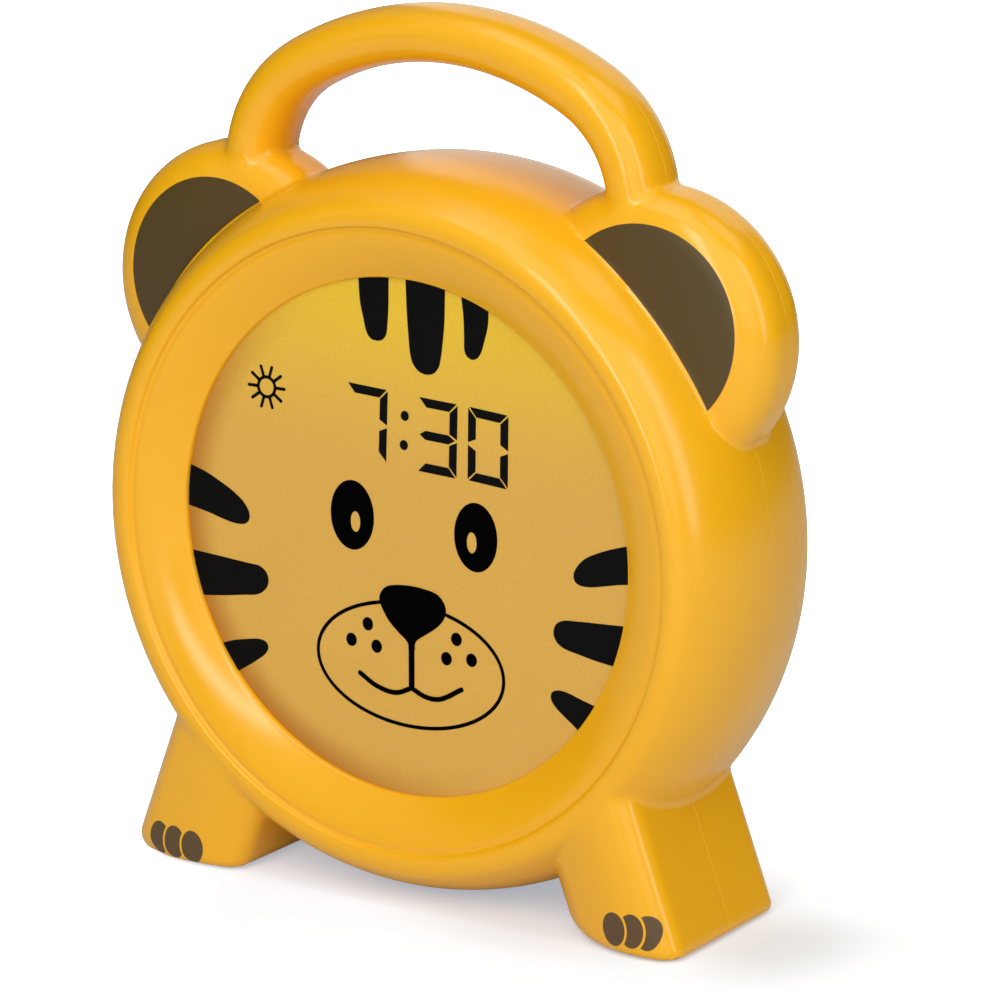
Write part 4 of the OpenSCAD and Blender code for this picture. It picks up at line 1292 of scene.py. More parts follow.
class CylinderNet:
    """Meshes a distance field on rows of radius, angle and depth."""

    def __init__(self, form: Callable, radii: Array, turns: int, depths: Array) -> None:
        """Keeps the field and the rows."""
        self.form, self.radii, self.turns, self.depths = form, radii, turns, depths

    def mesh(self) -> Part:
        """The surface as points and quads, open where it leaves the rows.

        Returns:
            The points and faces.
        """
        turn = np.arange(self.turns) * math.tau / self.turns
        r, a, t = np.meshgrid(self.radii, turn, self.depths, indexing="ij")
        values = self.form(r * np.cos(a), r * np.sin(a), t)
        solid = values < 0
        wrapped = np.concatenate([solid, solid[:, :1]], 1)
        count = sum(
            wrapped[i : i + len(self.radii) - 1, j : j + self.turns, k : k + len(self.depths) - 1].astype(int)
            for i, j, k in itertools.product((0, 1), repeat=3)
        )
        cells = np.stack(np.nonzero((count > 0) & (count < 8)), 1)
        ids = np.full(count.shape, -1)
        ids[tuple(cells.T)] = np.arange(len(cells))
        places, faces = self.cross(values, cells), self.quads(solid, ids)
        radius = np.interp(places[:, 0], np.arange(len(self.radii)), self.radii)
        angle = places[:, 1] * math.tau / self.turns
        depth = np.interp(places[:, 2], np.arange(len(self.depths)), self.depths)
        points = np.stack([radius * np.cos(angle), radius * np.sin(angle), depth], 1)
        return self.settle(points), faces

    def cross(self, values: Array, cells: Array) -> Array:
        """Mean place where each cell's edges cross the surface, counted in rows.

        Args:
            values: The field at the rows' crossings.
            cells: The cells that the surface runs through.

        Returns:
            One place for each cell.
        """
        total, hits = np.zeros(cells.shape), np.zeros(len(cells))
        for axis in range(3):
            step = np.eye(3, dtype=int)[axis]
            for pair in itertools.product((0, 1), repeat=2):
                start = cells + np.insert(pair, axis, 0)
                ends = [start, start + step]
                a, b = (values[p[:, 0], p[:, 1] % self.turns, p[:, 2]] for p in ends)
                hit = (a < 0) != (b < 0)
                share = np.where(hit, a / np.where(hit, a - b, 1), 0)
                total += hit[:, None] * (start + share[:, None] * step)
                hits += hit
        return total / hits[:, None]

    def quads(self, solid: Array, ids: Array) -> list[Sequence[int]]:
        """One face for each grid edge that crosses the surface.

        Args:
            solid: Whether each crossing of the rows is inside the form.
            ids: Each cell's point number, or -1.

        Returns:
            The faces, as point numbers.
        """
        found = []
        for axis in range(3):
            other = np.roll(solid, -1, axis)
            change = solid != other
            if axis != 1:
                last = [slice(None)] * 3
                last[axis] = -1
                change[tuple(last)] = False
            at = np.stack(np.nonzero(change), 1)
            first, second = (axis + 1) % 3, (axis + 2) % 3
            at = at[(at[:, 0] > 0) | (axis == 0)]
            at = at[(at[:, 2] > 0) | (axis == 2)]
            at = at[(at[:, 0] < solid.shape[0] - 1) & (at[:, 2] < solid.shape[2] - 1)]
            ring = []
            for a, b in ((-1, -1), (0, -1), (0, 0), (-1, 0)):
                cell = at.copy()
                cell[:, first] += a
                cell[:, second] += b
                ring.append(ids[cell[:, 0], cell[:, 1] % self.turns, cell[:, 2]])
            quads = np.stack(ring, 1)
            out = solid[tuple(at.T)]
            quads = np.where(out[:, None], quads, quads[:, ::-1])
            found.append(quads[(quads >= 0).all(1)])
        return np.concatenate(found).tolist()

    def settle(self, points: Array, rounds: int = 4, reach: float = 0.02, most: float = 0.8) -> Array:
        """Moves points onto the surface along the field's slope.

        Args:
            points: The points.
            rounds: How often they move.
            reach: Distance over which the slope is measured.
            most: Longest way that a point goes in one round.

        Returns:
            The moved points.
        """
        for _ in range(rounds):
            here = self.form(*points.T)
            rises = [self.form(*(points + d).T) - self.form(*(points - d).T) for d in np.eye(3) * reach]
            slope = np.stack(rises, 1) / (2 * reach)
            step = here[:, None] * slope / np.maximum((slope**2).sum(1), 0.05)[:, None]
            size = np.linalg.norm(step, axis=1)
            points = points - step * np.minimum(1, most / np.maximum(size, 1e-9))[:, None]
        return points


def split_at_seam(mesh: Part, name: str, forward: bool, groove: float = 0.07) -> Solid:
    """Cuts an open skin at the seam, closes it and gives the edge a fine groove.

    Args:
        mesh: The skin, which runs past the seam.
        name: The solid's name.
        forward: Whether the front of the seam is kept.
        groove: Depth and width of the groove.

    Returns:
        The closed solid.
    """
    solid = Solid(name, mesh)
    work = bmesh.new()
    work.from_mesh(solid.obj.data)
    way = 1.0 if forward else -1.0
    for depth, clear in ((way * groove, False), (0.0, True)):
        bmesh.ops.bisect_plane(
            work,
            geom=[*work.verts, *work.edges, *work.faces],
            dist=1e-6,
            plane_co=(0, 0, depth),
            plane_no=(0, 0, way),
            clear_inner=clear,
        )
    work.normal_update()
    rim = [v for v in work.verts if abs(v.co.z) < 1e-5 and v.is_boundary]
    moves = [Vector((v.normal.x, v.normal.y, 0)).normalized() * groove for v in rim]
    for v, move in zip(rim, moves):
        v.co -= move
    chosen = set(rim)
    seam = [e for e in work.edges if e.is_boundary and e.verts[0] in chosen and e.verts[1] in chosen]
    bmesh.ops.triangle_fill(work, use_beauty=False, edges=seam, normal=(0, 0, -way))
    rest = [e for e in work.edges if e.is_boundary]
    bmesh.ops.holes_fill(work, edges=rest, sides=0)
    bmesh.ops.recalc_face_normals(work, faces=work.faces)
    loose = [e for e in work.edges if not e.is_manifold]
    LOG.info("%s skin: %d faces, %d open edges", name, len(work.faces), len(loose))
    work.to_mesh(solid.obj.data)
    work.free()
    return solid


# ---- repeated pieces


class Recipe:
    """A Geometry Nodes tree whose result becomes a plain mesh."""

    def __init__(self, name: str, sizes: dict[str, float]) -> None:
        """Starts the tree with its named inputs.

        Args:
            name: The tree's name.
            sizes: Each input's name and value; a whole number makes a whole number input.
        """
        group = bpy.data.node_groups.new(name, "GeometryNodeTree")
        self.tree = Tree(group)
        self.sizes, self.sockets = sizes, {}
        for key, value in sizes.items():
            kind = "NodeSocketInt" if isinstance(value, int) else "NodeSocketFloat"
            self.sockets[key] = group.interface.new_socket(name=key, in_out="INPUT", socket_type=kind)
        group.interface.new_socket(name="Geometry", in_out="OUTPUT", socket_type="NodeSocketGeometry")
        self.inputs = self.tree.add("NodeGroupInput").outputs

    def add(self, kind: str, settings: dict | None = None, inputs: dict | None = None) -> Socket:
        """Adds a node and gives its first output."""
        return self.tree.add(kind, settings, inputs).outputs[0]

    def size(self, name: str) -> Num:
        """A named input as a number."""
        return Num(self.tree, self.inputs[name])

    def join(self, *parts: Socket) -> Socket:
        """Joins geometry.

        Args:
            parts: The shapes.

        Returns:
            The joined shape.
        """
        node = self.tree.add("GeometryNodeJoinGeometry")
        for part in parts:
            self.tree.tree.links.new(part, node.inputs[0])
        return node.outputs[0]

    def vector(self, x: object = 0.0, y: object = 0.0, z: object = 0.0) -> Socket:
        """A vector from three numbers."""
        return self.add("ShaderNodeCombineXYZ", inputs={0: x, 1: y, 2: z})

    def move(self, shape: Socket, place: Socket) -> Socket:
        """Geometry moved by a vector."""
        return self.add("GeometryNodeTransform", inputs={"Geometry": shape, "Translation": place})

    def rod(self, radius: Num, depth: Num, sides: object) -> Socket:
        """A round rod along the depth."""
        inputs = {"Vertices": sides, "Radius": radius, "Depth": depth}
        return self.add("GeometryNodeMeshCylinder", inputs=inputs)

    def box(self, *sizes: Num) -> Socket:
        """A box of three sizes."""
        return self.add("GeometryNodeMeshCube", inputs={"Size": self.vector(*sizes)})

    def circle(self, count: object, radius: Num) -> Socket:
        """Points round a circle."""
        return self.add("GeometryNodeMeshCircle", inputs={"Vertices": count, "Radius": radius})

    def outwards(self) -> Socket:
        """A turn that lays the X axis along the way out from the middle."""
        place = self.add("GeometryNodeInputPosition")
        return self.add("FunctionNodeAlignRotationToVector", {"axis": "X"}, {"Vector": place})

    def repeat(self, points: Socket, shape: Socket, turned: bool = False) -> Socket:
        """A shape on each point.

        Args:
            points: The points.
            shape: The shape.
            turned: Whether each copy is turned outwards from the middle.

        Returns:
            The copies.
        """
        inputs = {"Points": points, "Instance": shape}
        if turned:
            inputs["Rotation"] = self.outwards()
        return self.add("GeometryNodeInstanceOnPoints", inputs=inputs)

    def make(self, shape: Socket, finish: Finish) -> Solid:
        """Ends the tree, runs it and keeps its result as a plain mesh.

        Args:
            shape: The shape that the tree has made.
            finish: What it is dressed in.

        Returns:
            The shape as a solid.
        """
        real = self.add("GeometryNodeRealizeInstances", inputs={0: shape})
        done = self.add("GeometryNodeSetMaterial", inputs={"Geometry": real, "Material": finish.material()})
        self.tree.add("NodeGroupOutput", inputs={0: done})
        name = self.tree.tree.name
        obj = linked(name, bpy.data.meshes.new(name))
        run = obj.modifiers.new(name, "NODES")
        run.node_group = self.tree.tree
        for key, value in self.sizes.items():
            run[self.sockets[key].identifier] = value
        obj.data = evaluated(obj)
        return Solid.wrap(obj)


# ---- sub-assemblies


@dataclass(frozen=True)
class Rear:
    """Sizes of what is set into the rear shell."""

    dip: float = 1.2
    controls: Outline = Outline(0.0, 33.0, 96.0, 44.0, 5.0)
    key_r: float = 6.5
    key_gap: float = 0.25
    key_columns: tuple[float, ...] = (-32.0, -10.0, 12.0)
    key_rows: tuple[float, ...] = (43.0, 23.0)
    slot: Outline = Outline(33.0, 33.0, 8.5, 4.5, 0.4, 2)
    screw_at: float = 78.5
    screw_turns: tuple[float, ...] = (8.0, 90.0, 172.0, 228.0, 312.0)
    well_r: float = 2.8
    well_t: float = 12.0
    tower_r: float = 4.4
    thread_r: float = 1.46
    speaker: Spot = (56.0, -18.0)
    grille_pitch: float = 4.6
    grille_r: float = 1.2
    grille_t: float = 6.0
    grille_in: float = 1.0
    grille_rings: int = 3
    grille_sides: int = 20
    inlet: Outline = Outline(-58.0, -20.0, 14.0, 8.0, 2.5)
    inlet_t: float = 4.5
    socket: Outline = Outline(-58.0, -20.0, 9.3, 3.6, 1.6)
    bay: Outline = Outline(0.0, -47.0, 56.8, 44.9, 0.4, 2)
    bay_wall: float = 2.4
    bay_floor: float = -7.8
    door: Outline = Outline(0.0, -42.5, 59.6, 56.7, 3.2)
    door_seat: float = -23.3
    door_screw: Spot = (0.0, -19.45)
    strip: Outline = Outline(0.0, -18.0, 61.6, 11.4, 1.0, 2)
    strip_end: float = -19.7
    boss_r: float = 3.8
    boss_end: float = -12.6
    boss_room: Spot = (4.0, -21.7)
    thread_end: float = -13.6
    socket_end: float = -12.0
    lap: float = 0.4
    seam_gap: float = 0.2
    seat_lap: float = 0.2
    controls_wall: Spot = (1.0, 2.2)
    controls_edge: float = 0.45
    inlet_wall: float = 1.5
    key_edge: float = 0.25
    slot_edge: float = 0.2
    through: float = 4.0
    past_seam: float = 2.0

    def keys(self) -> dict[str, Spot]:
        """Each key's name and centre.

        Returns:
            The centres by name.
        """
        names = (("set", "up", "alarm"), ("volume", "down", "light"))
        return {
            name: (x, up)
            for line, up in zip(names, self.key_rows)
            for name, x in zip(line, self.key_columns)
        }

    def screws(self) -> list[Spot]:
        """Centres of the shell screws."""
        turns = [math.radians(t) for t in self.screw_turns]
        return [(self.screw_at * math.cos(t), self.screw_at * math.sin(t)) for t in turns]


@dataclass
class Shells:
    """The two half shells with their ears, handle and feet."""

    stand: Stand
    body: Body = Body()
    ear: Ear = Ear()
    handle: Handle = Handle()
    foot: Foot = Foot()
    rear: Rear = Rear()
    turns: int = 540
    lathe_sides: int = 360
    front_radii: tuple[Stretch, ...] = (
        (57, 61, 1.3),
        (61, 72.4, 1.1),
        (72.4, 77, 0.4),
        (77, 82, 0.8),
        (82, 131, 1.15),
    )
    front_depths: tuple[Stretch, ...] = ((-1.4, 24.4, 1.12), (24.4, 28, 0.36))
    rear_radii: tuple[Stretch, ...] = ((74, 80.5, 1.3), (80.5, 85, 0.6), (85, 131, 1.15))
    rear_depths: tuple[Stretch, ...] = ((-26.6, -21.8, 0.5), (-21.8, 1.4, 1.16))
    pad_sides: int = 48
    pad_reach: float = 2.0
    pad_sink: float = 0.4

    def build(self) -> None:
        """Builds both shells."""
        form = Form(self.body, self.ear, self.handle, self.foot)
        self.front_shell(form)
        self.rear_shell(form)

    def pads(self) -> list[Part]:
        """Pockets of the rubber pads in the soles.

        Returns:
            A cutter for each pocket.
        """
        foot, found = self.foot, []
        for side, depth in itertools.product((-1, 1), foot.pads_t):
            disc_line = [(foot.pad_r, -self.pad_reach), (foot.pad_r, foot.pad_t)]
            points, faces = spin(disc_line, self.pad_sides)
            x, y, z = points.T
            up = z + foot.sole - self.pad_sink
            found.append((np.stack([x + side * foot.pads_x, up, depth - y], 1), faces))
        return found

    def front_shell(self, form: Form) -> None:
        """The front shell with its bezel and window.

        Args:
            form: The clock's outer form.
        """
        net = CylinderNet(form, rows(*self.front_radii), self.turns, rows(*self.front_depths))
        shell = split_at_seam(net.mesh(), "front_shell_skin", True)
        shell.cut(spin(self.body.front_room(), self.lathe_sides))
        shell.cut(*self.pads())
        self.stand.place(shell, Slot.BODY, replaces=["front_shell"])

    def rear_shell(self, form: Form) -> None:
        """The rear shell with all that is set into its back.

        Args:
            form: The clock's outer form.
        """
        net = CylinderNet(form, rows(*self.rear_radii), self.turns, rows(*self.rear_depths))
        shell = split_at_seam(net.mesh(), "rear_shell_skin", False)
        shell.cut(spin(self.body.rear_room(), self.lathe_sides))
        for step in self.rear_fittings():
            shell.add(*step)
        for step in self.rear_pockets():
            shell.cut(*step)
        shell.combine(self.grille(), Boolean.CUT)
        shell.cut(*self.pads())
        self.stand.place(shell, Slot.BODY, replaces=["rear_shell"])

    def rear_fittings(self) -> list[list[Part]]:
        """Towers, bay walls and pads of the rear shell, in steps whose parts don't touch.

        Returns:
            The parts of each step.
        """
        rear, back = self.rear, -self.body.back_depth
        inner, seat = back + self.body.wall, rear.door_seat - rear.seat_lap
        low = inner - rear.lap
        towers = [post(disc(x, up, rear.tower_r), low, -rear.seam_gap) for x, up in rear.screws()]
        bay = post(rear.bay, seat, rear.bay_floor + rear.bay_wall, rear.bay_wall)
        deep, wide = rear.controls_wall
        controls = post(rear.controls, low, inner + deep, wide)
        inlet = post(rear.inlet, low, back + rear.inlet_t + rear.inlet_wall, rear.inlet_wall)
        strip = post(rear.strip, seat, rear.strip_end)
        boss = post(disc(*rear.door_screw, rear.boss_r), seat, rear.boss_end)
        return [[*towers, bay, controls, inlet], [strip], [boss]]

    def rear_pockets(self) -> list[list[Part]]:
        """Everything cut into the rear shell, in steps whose parts don't touch.

        Returns:
            The cutters of each step.
        """
        rear, back = self.rear, -self.body.back_depth
        floor, hole = back + rear.dip, rear.key_r + rear.key_gap
        deep = floor + rear.through
        wells = [pocket(disc(x, up, rear.well_r), back, back + rear.well_t) for x, up in rear.screws()]
        threads = [post(disc(x, up, rear.thread_r), back, rear.past_seam) for x, up in rear.screws()]
        controls = pocket(rear.controls, back, floor, rear.controls_edge)
        door = pocket(rear.door, back, rear.door_seat)
        inlet = pocket(rear.inlet, back, back + rear.inlet_t)
        keys = [pocket(disc(x, up, hole, 16), floor, deep, rear.key_edge) for x, up in rear.keys().values()]
        slot = pocket(rear.slot, floor, deep, rear.slot_edge)
        bay = post(rear.bay, back, rear.bay_floor)
        screw = post(disc(*rear.door_screw, rear.boss_room[0]), back, rear.boss_room[1])
        thread = post(disc(*rear.door_screw, rear.thread_r), back, rear.thread_end)
        socket = post(rear.socket, back, rear.socket_end)
        return [[*wells, controls, door, inlet], [*threads, *keys, slot, bay, screw, socket], [thread]]

    def grille(self) -> Solid:
        """The holes of the speaker grille, in rings about the speaker's middle.

        Returns:
            The holes as a cutter.
        """
        rear = self.rear
        sizes = {"Pitch": rear.grille_pitch, "Hole radius": rear.grille_r}
        sizes |= {"Depth": rear.grille_t, "Sides": rear.grille_sides}
        recipe = Recipe("speaker_grille_holes", sizes)
        drill = recipe.rod(recipe.size("Hole radius"), recipe.size("Depth"), recipe.size("Sides"))
        points = [recipe.add("GeometryNodeMeshLine", inputs={"Count": 1})]
        rings = range(1, rear.grille_rings + 1)
        points += [recipe.circle(6 * ring, recipe.size("Pitch") * float(ring)) for ring in rings]
        holes = recipe.repeat(recipe.join(*points), drill)
        moved = recipe.move(holes, recipe.vector(*rear.speaker, -self.body.back_depth + rear.grille_in))
        return recipe.make(moved, FINISHES[Slot.BODY])


@dataclass
class BatteryDoor:
    """The battery door with its grip lines, its lower lugs and the boss of its screw."""

    stand: Stand
    rear: Rear = Rear()
    back: float = -25.4
    t: float = 2.0
    gap: float = 0.2
    corner_r: float = 3.0
    boss: float = 1.4
    lug: Outline = Outline(14.2, -68.65, 6.0, 1.2, 0.2, 2)
    screw_well: Spot = (2.8, 2.0)
    well_edge: float = 0.25
    edge: tuple[Spot, ...] = ((0.0, -0.5), (0.12, -0.18), (0.45, 0.0))
    lap: float = 0.5
    through: float = 4.0
    grips_up: float = 8.0
    grip_lines: int = 5
    grip_pitch: float = 2.4
    grip_size: Point = (16.0, 1.0, 1.0)

    def build(self) -> None:
        """Builds the door."""
        rear, low, high = self.rear, self.back, self.back + self.t
        seat, w, h = rear.door, rear.door.w - 2 * self.gap, rear.door.h - 2 * self.gap
        levels = [*((low + deep, inset) for deep, inset in self.edge), (high, 0.0)]
        door = Solid("battery_door_skin", loft(Outline(seat.x, seat.up, w, h, self.corner_r), levels))
        start, end, (r, deep) = low + self.lap, rear.door_seat + self.boss, self.screw_well
        door.add(post(disc(*rear.door_screw, rear.boss_r), start, end))
        door.add(*(post(replace(self.lug, x=side * self.lug.x), start, end) for side in (-1, 1)))
        door.cut(pocket(disc(*rear.door_screw, r), low, low + deep, self.well_edge))
        door.cut(post(disc(*rear.door_screw, rear.thread_r), low, high + self.through))
        door.combine(self.grips(seat.up - h / 2 + self.grips_up), Boolean.CUT)
        self.stand.place(door, Slot.BODY, "door", ["battery_door"], sharp=28.0)

    def grips(self, up: float) -> Solid:
        """The grooves that a finger holds the door by.

        Args:
            up: Height of their middle.

        Returns:
            The grooves as a cutter.
        """
        sizes = {"Lines": self.grip_lines, "Pitch": self.grip_pitch}
        recipe = Recipe("door_grip_lines", sizes | dict(zip(("Length", "Width", "Depth"), self.grip_size)))
        size = recipe.size
        half = (size("Lines") - 1.0) * size("Pitch") * -0.5
        inputs = {
            "Count": size("Lines"),
            "Start Location": recipe.vector(0.0, half),
            "Offset": recipe.vector(0.0, size("Pitch")),
        }
        line = recipe.add("GeometryNodeMeshLine", {"mode": "OFFSET"}, inputs)
        bars = recipe.repeat(line, recipe.box(size("Length"), size("Width"), size("Depth")))
        return recipe.make(recipe.move(bars, recipe.vector(0.0, up, self.back)), FINISHES[Slot.BODY])


@dataclass
class Keys:
    """The six round keys of the rear panel."""

    stand: Stand
    rear: Rear = Rear()
    face: float = -25.1
    flange_back: float = -22.0
    flange: float = 1.2
    flange_t: float = 1.0
    dish: float = 0.45
    stem_r: float = 2.2
    stem_end: float = -18.9
    rim_r: float = 0.9
    dish_in: float = 1.1
    dish_steps: tuple[float, ...] = (0.04, 0.3, 0.5, 0.7, 0.85, 1.0)
    sides: int = 96

    def build(self) -> None:
        """Builds the keys, each on its own body."""
        r, t = self.rear.key_r, self.face
        dish = [(s * (r - self.dish_in), t + self.dish * (1 - s * s)) for s in self.dish_steps]
        rim = arc((r - self.rim_r, t + self.rim_r), self.rim_r, self.rim_r, -90, 0, 7)
        foot = [
            (r, self.flange_back),
            (r + self.flange, self.flange_back),
            (r + self.flange, self.flange_back + self.flange_t),
            (self.stem_r, self.flange_back + self.flange_t),
            (self.stem_r, self.stem_end),
        ]
        for name, (x, up) in self.rear.keys().items():
            cap = Solid(f"{name}_key_cap", spin([*joined(dish, rim, foot)], self.sides, x, up))
            self.stand.place(cap, Slot.TRIM, f"{name}_button", [f"{name}_key"])


@dataclass
class FacePrint:
    """The tiger's face, the time and the sun, printed on the panel."""

    stand: Stand
    panel_t: float = 19.4
    ink_t: float = 0.05
    window_r: float = 61.96
    stroke_w: float = 2.15
    gap: float = 0.3
    mouth_w: float = 1.6
    smile_w: float = 1.2
    muzzle_w: float = 0.9
    muzzle_at: Spot = (1.8, -30.3)
    muzzle_half: Spot = (26.2, 14.9)
    dot_half: Spot = (1.5, 1.62)
    colon_half: Spot = (1.15, 1.2)
    glint_half: Spot = (1.35, 2.5)
    sun_at: Spot = (-38.6, 31.7)

    def lay(
        self, name: str, outlines: Iterable, finish: Finish = INK, loops: Iterable = (), coats: int = 1
    ) -> None:
        """Prints outlines and loops as one thin piece.

        Args:
            name: The piece's name.
            outlines: Outlines that are filled.
            finish: The ink.
            loops: Pairs of an outer and an inner outline, filled between the two.
            coats: Coats of ink.
        """
        low, high = self.panel_t, self.panel_t + self.ink_t * coats
        parts = [slab(o, low, high) for o in outlines] + [band(a, b, low, high) for a, b in loops]
        self.stand.place(Solid(name, *parts), Slot.FACE, finish=finish, sharp=None)

    def build(self) -> None:
        """Prints everything."""
        self.stripes()
        self.eyes()
        self.muzzle()
        self.digits()
        self.sun()

    def stripe(self, points: Sequence[Spot]) -> Array:
        """A stripe that runs in from the window's edge; its first and last points lie on that edge.

        Args:
            points: Points along the stripe's side.

        Returns:
            The stripe's outline.
        """
        a, b = (math.degrees(math.atan2(p[1], p[0])) for p in (points[0], points[-1]))
        if a - b > 180:
            a -= 360
        rim = arc((0, 0), self.window_r, self.window_r, b, a, 10)
        side = spline([rim[-1], *points[1:-1], rim[0]], closed=False, steps=5)
        return joined(rim[:-1], side[:-1])

    def stripes(self) -> None:
        """The stripes round the face."""
        marks = (
            [(-12.1, 60.9), (-11.7, 55.5), (-10.9, 52), (-9.9, 48.3), (-8.8, 46.9), (-7.1, 46.5),
             (-5.5, 46.9), (-4.4, 48.2), (-4.0, 51), (-3.7, 55), (-3.6, 61.9)],
            [(1.1, 62), (1.3, 56), (1.8, 49), (2.4, 44), (3.2, 42), (4.7, 40.6), (6.6, 40.1), (8.6, 40.5),
             (10, 41.9), (10.7, 44), (11.3, 48), (11.8, 53), (12, 60.8)],
            [(16.4, 59.8), (17, 55), (17.2, 50), (17.3, 46.9), (18.1, 45.6), (19.4, 45.1), (20.8, 45.6),
             (21.8, 47), (22.9, 50.4), (23.7, 53.5), (23.9, 57.2)],
            [(-61.2, 10), (-57, 8.8), (-53, 7.1), (-48.5, 4.8), (-45.6, 2.6), (-44.1, 0.2), (-44.3, -1.6),
             (-45.6, -2.6), (-48, -2.8), (-51, -2.4), (-56, -1.2), (-62, -0.1)],
            [(-61, -11.1), (-54, -11.5), (-45, -12.1), (-41.2, -12.4), (-39.4, -13.6), (-38.7, -15.5),
             (-39.4, -17.6), (-41.8, -19.4), (-46, -20.2), (-52, -21.2), (-58, -22)],
            [(-52.6, -33.2), (-49.5, -32), (-45, -31), (-41.8, -30.5), (-39.7, -30.9), (-39, -32.2),
             (-39.8, -33.8), (-42, -35.6), (-45, -37.6), (-48, -39.5)],
            [(61.7, 7), (58, 5.9), (54, 4.4), (50.2, 2.5), (48.1, 0.5), (47, -1.6), (47.3, -3.3),
             (48.8, -4.1), (51.5, -4.1), (55, -3.4), (59, -2.5), (62, -2)],
            [(60.9, -12), (55, -12.3), (48, -12.7), (44.2, -13.1), (42.3, -14.2), (41.6, -16.2),
             (42.3, -18.2), (44.3, -19.6), (48.5, -20.5), (53, -21.3), (58, -21.9)],
            [(53, -32.2), (49, -31.1), (45.5, -30.1), (42.9, -29.9), (41.2, -30.7), (41, -32.3),
             (42.2, -34), (44.6, -35.9), (47, -37.6), (48.4, -38.7)],
        )
        self.lay("face_stripes", [self.stripe(points) for points in marks])

    def eyes(self) -> None:
        """Two oval eyes, each with a clear glint in it."""
        loops = []
        for centre, half, glint in (
            ((-14.3, 3.9), (6.15, 8.4), (-13.4, 2.4)),
            ((20.3, 3.2), (5.95, 8.25), (19.2, 1.8)),
        ):
            outer = arc(centre, *half, 0, 360, 64)[:-1]
            inner = arc(glint, *self.glint_half, 0, 360, 64)[:-1]
            loops.append((outer, inner))
        self.lay("face_eyes", [], EYE_INK, loops)

    def muzzle(self) -> None:
        """Nose, mouth, muzzle line and whisker dots."""
        nose = [
            (-6.7, -15.4), (-6.2, -13.6), (-4.7, -12.1), (-2.4, -11.4), (1.7, -11.0), (5.8, -11.2),
            (9.3, -11.9), (11.1, -13.3), (12.0, -15.5), (11.3, -17.9), (9.3, -20.1), (6.2, -22.3),
            (3.7, -24.1), (3.2, -25.3), (3.2, -26.3), (1.5, -26.3), (1.5, -25.6), (1.1, -24.6),
            (-1.2, -22.8), (-4.0, -20.3), (-5.8, -17.7),
        ]
        line = np.array([(2.3, -25.5), (2.3, -35.6)])
        left = spline([(-12.4, -34.3), (-7.6, -36.8), (-2.3, -37.6), (2.3, -35.8)], False)
        right = spline([(2.3, -35.8), (6.1, -37.3), (10.1, -37.3), (16.3, -34.0)], False)
        smile = [*stroke(left, self.smile_w), *stroke(right, self.smile_w)]
        self.lay("face_nose", [spline(nose, steps=5)], EYE_INK, coats=3)
        self.lay("face_mouth", [*stroke(line, self.mouth_w), *smile], EYE_INK, coats=2)
        ring = arc(self.muzzle_at, *self.muzzle_half, 0, 360, 160)[:-1]
        self.lay("face_muzzle_line", [], EYE_INK, [tuple(stroke(ring, self.muzzle_w, closed=True))])
        dots = [(-10.1, -22.0), (-14.8, -26.5), (-7.6, -27.1), (14.9, -22.0), (12.1, -27.1), (19.1, -26.4)]
        self.lay("face_whisker_dots", [arc(c, *self.dot_half, 0, 360, 28)[:-1] for c in dots], EYE_INK)

    def digits(self) -> None:
        """The time, in mitred bars, and its colon."""
        cells = (
            ("abc", (-15.5, 35.7), (-4.0, 35.1), (-4.6, 17.6)),
            ("abgcd", (4.5, 34.6), (15.4, 34.1), (15.0, 16.5)),
            ("abcdef", (18.3, 34.0), (29.3, 33.2), (29.1, 15.8)),
        )
        shapes = [bar for lit, *corners in cells for bar in self.bars(lit, *(np.array(c) for c in corners))]
        shapes += [arc(c, *self.colon_half, 0, 360, 24)[:-1] for c in ((0.7, 29.6), (0.4, 22.6))]
        self.lay("display_digits", shapes)

    def bars(self, lit: str, top_left: Array, top_right: Array, low_right: Array) -> list[Array]:
        """The lit bars of one digit.

        Args:
            lit: Letters of the bars: a at the top, then clockwise to f, and g in the middle.
            top_left: The cell's corner.
            top_right: The cell's corner.
            low_right: The cell's corner.

        Returns:
            Each bar's outline.
        """
        across, down = top_right - top_left, low_right - top_right
        w, h = self.stroke_w / np.linalg.norm(across), self.stroke_w / np.linalg.norm(down)
        gx, gy = self.gap / np.linalg.norm(across), self.gap / np.linalg.norm(down)
        top = [(gx, 0), (1 - gx, 0), (1 - w - gx / 2, h), (w + gx / 2, h)]
        side = [(1, gy), (1, 0.5 - gy), (1 - w, 0.5 - h / 2 - gy), (1 - w, h + gy)]
        middle = [
            (0.02 + gx, 0.5), (w, 0.5 - h / 2), (1 - w - gx, 0.5 - h / 2),
            (1 - gx * 2, 0.5), (1 - w - gx, 0.5 + h / 2), (w, 0.5 + h / 2),
        ]
        flip_x = [(1 - u, v) for u, v in side]
        shapes = {
            "a": top,
            "b": side,
            "c": [(u, 1 - v) for u, v in side],
            "d": [(u, 1 - v) for u, v in top],
            "e": [(u, 1 - v) for u, v in flip_x],
            "f": flip_x,
            "g": middle,
        }
        return [np.array([top_left + u * across + v * down for u, v in shapes[key]]) for key in lit]

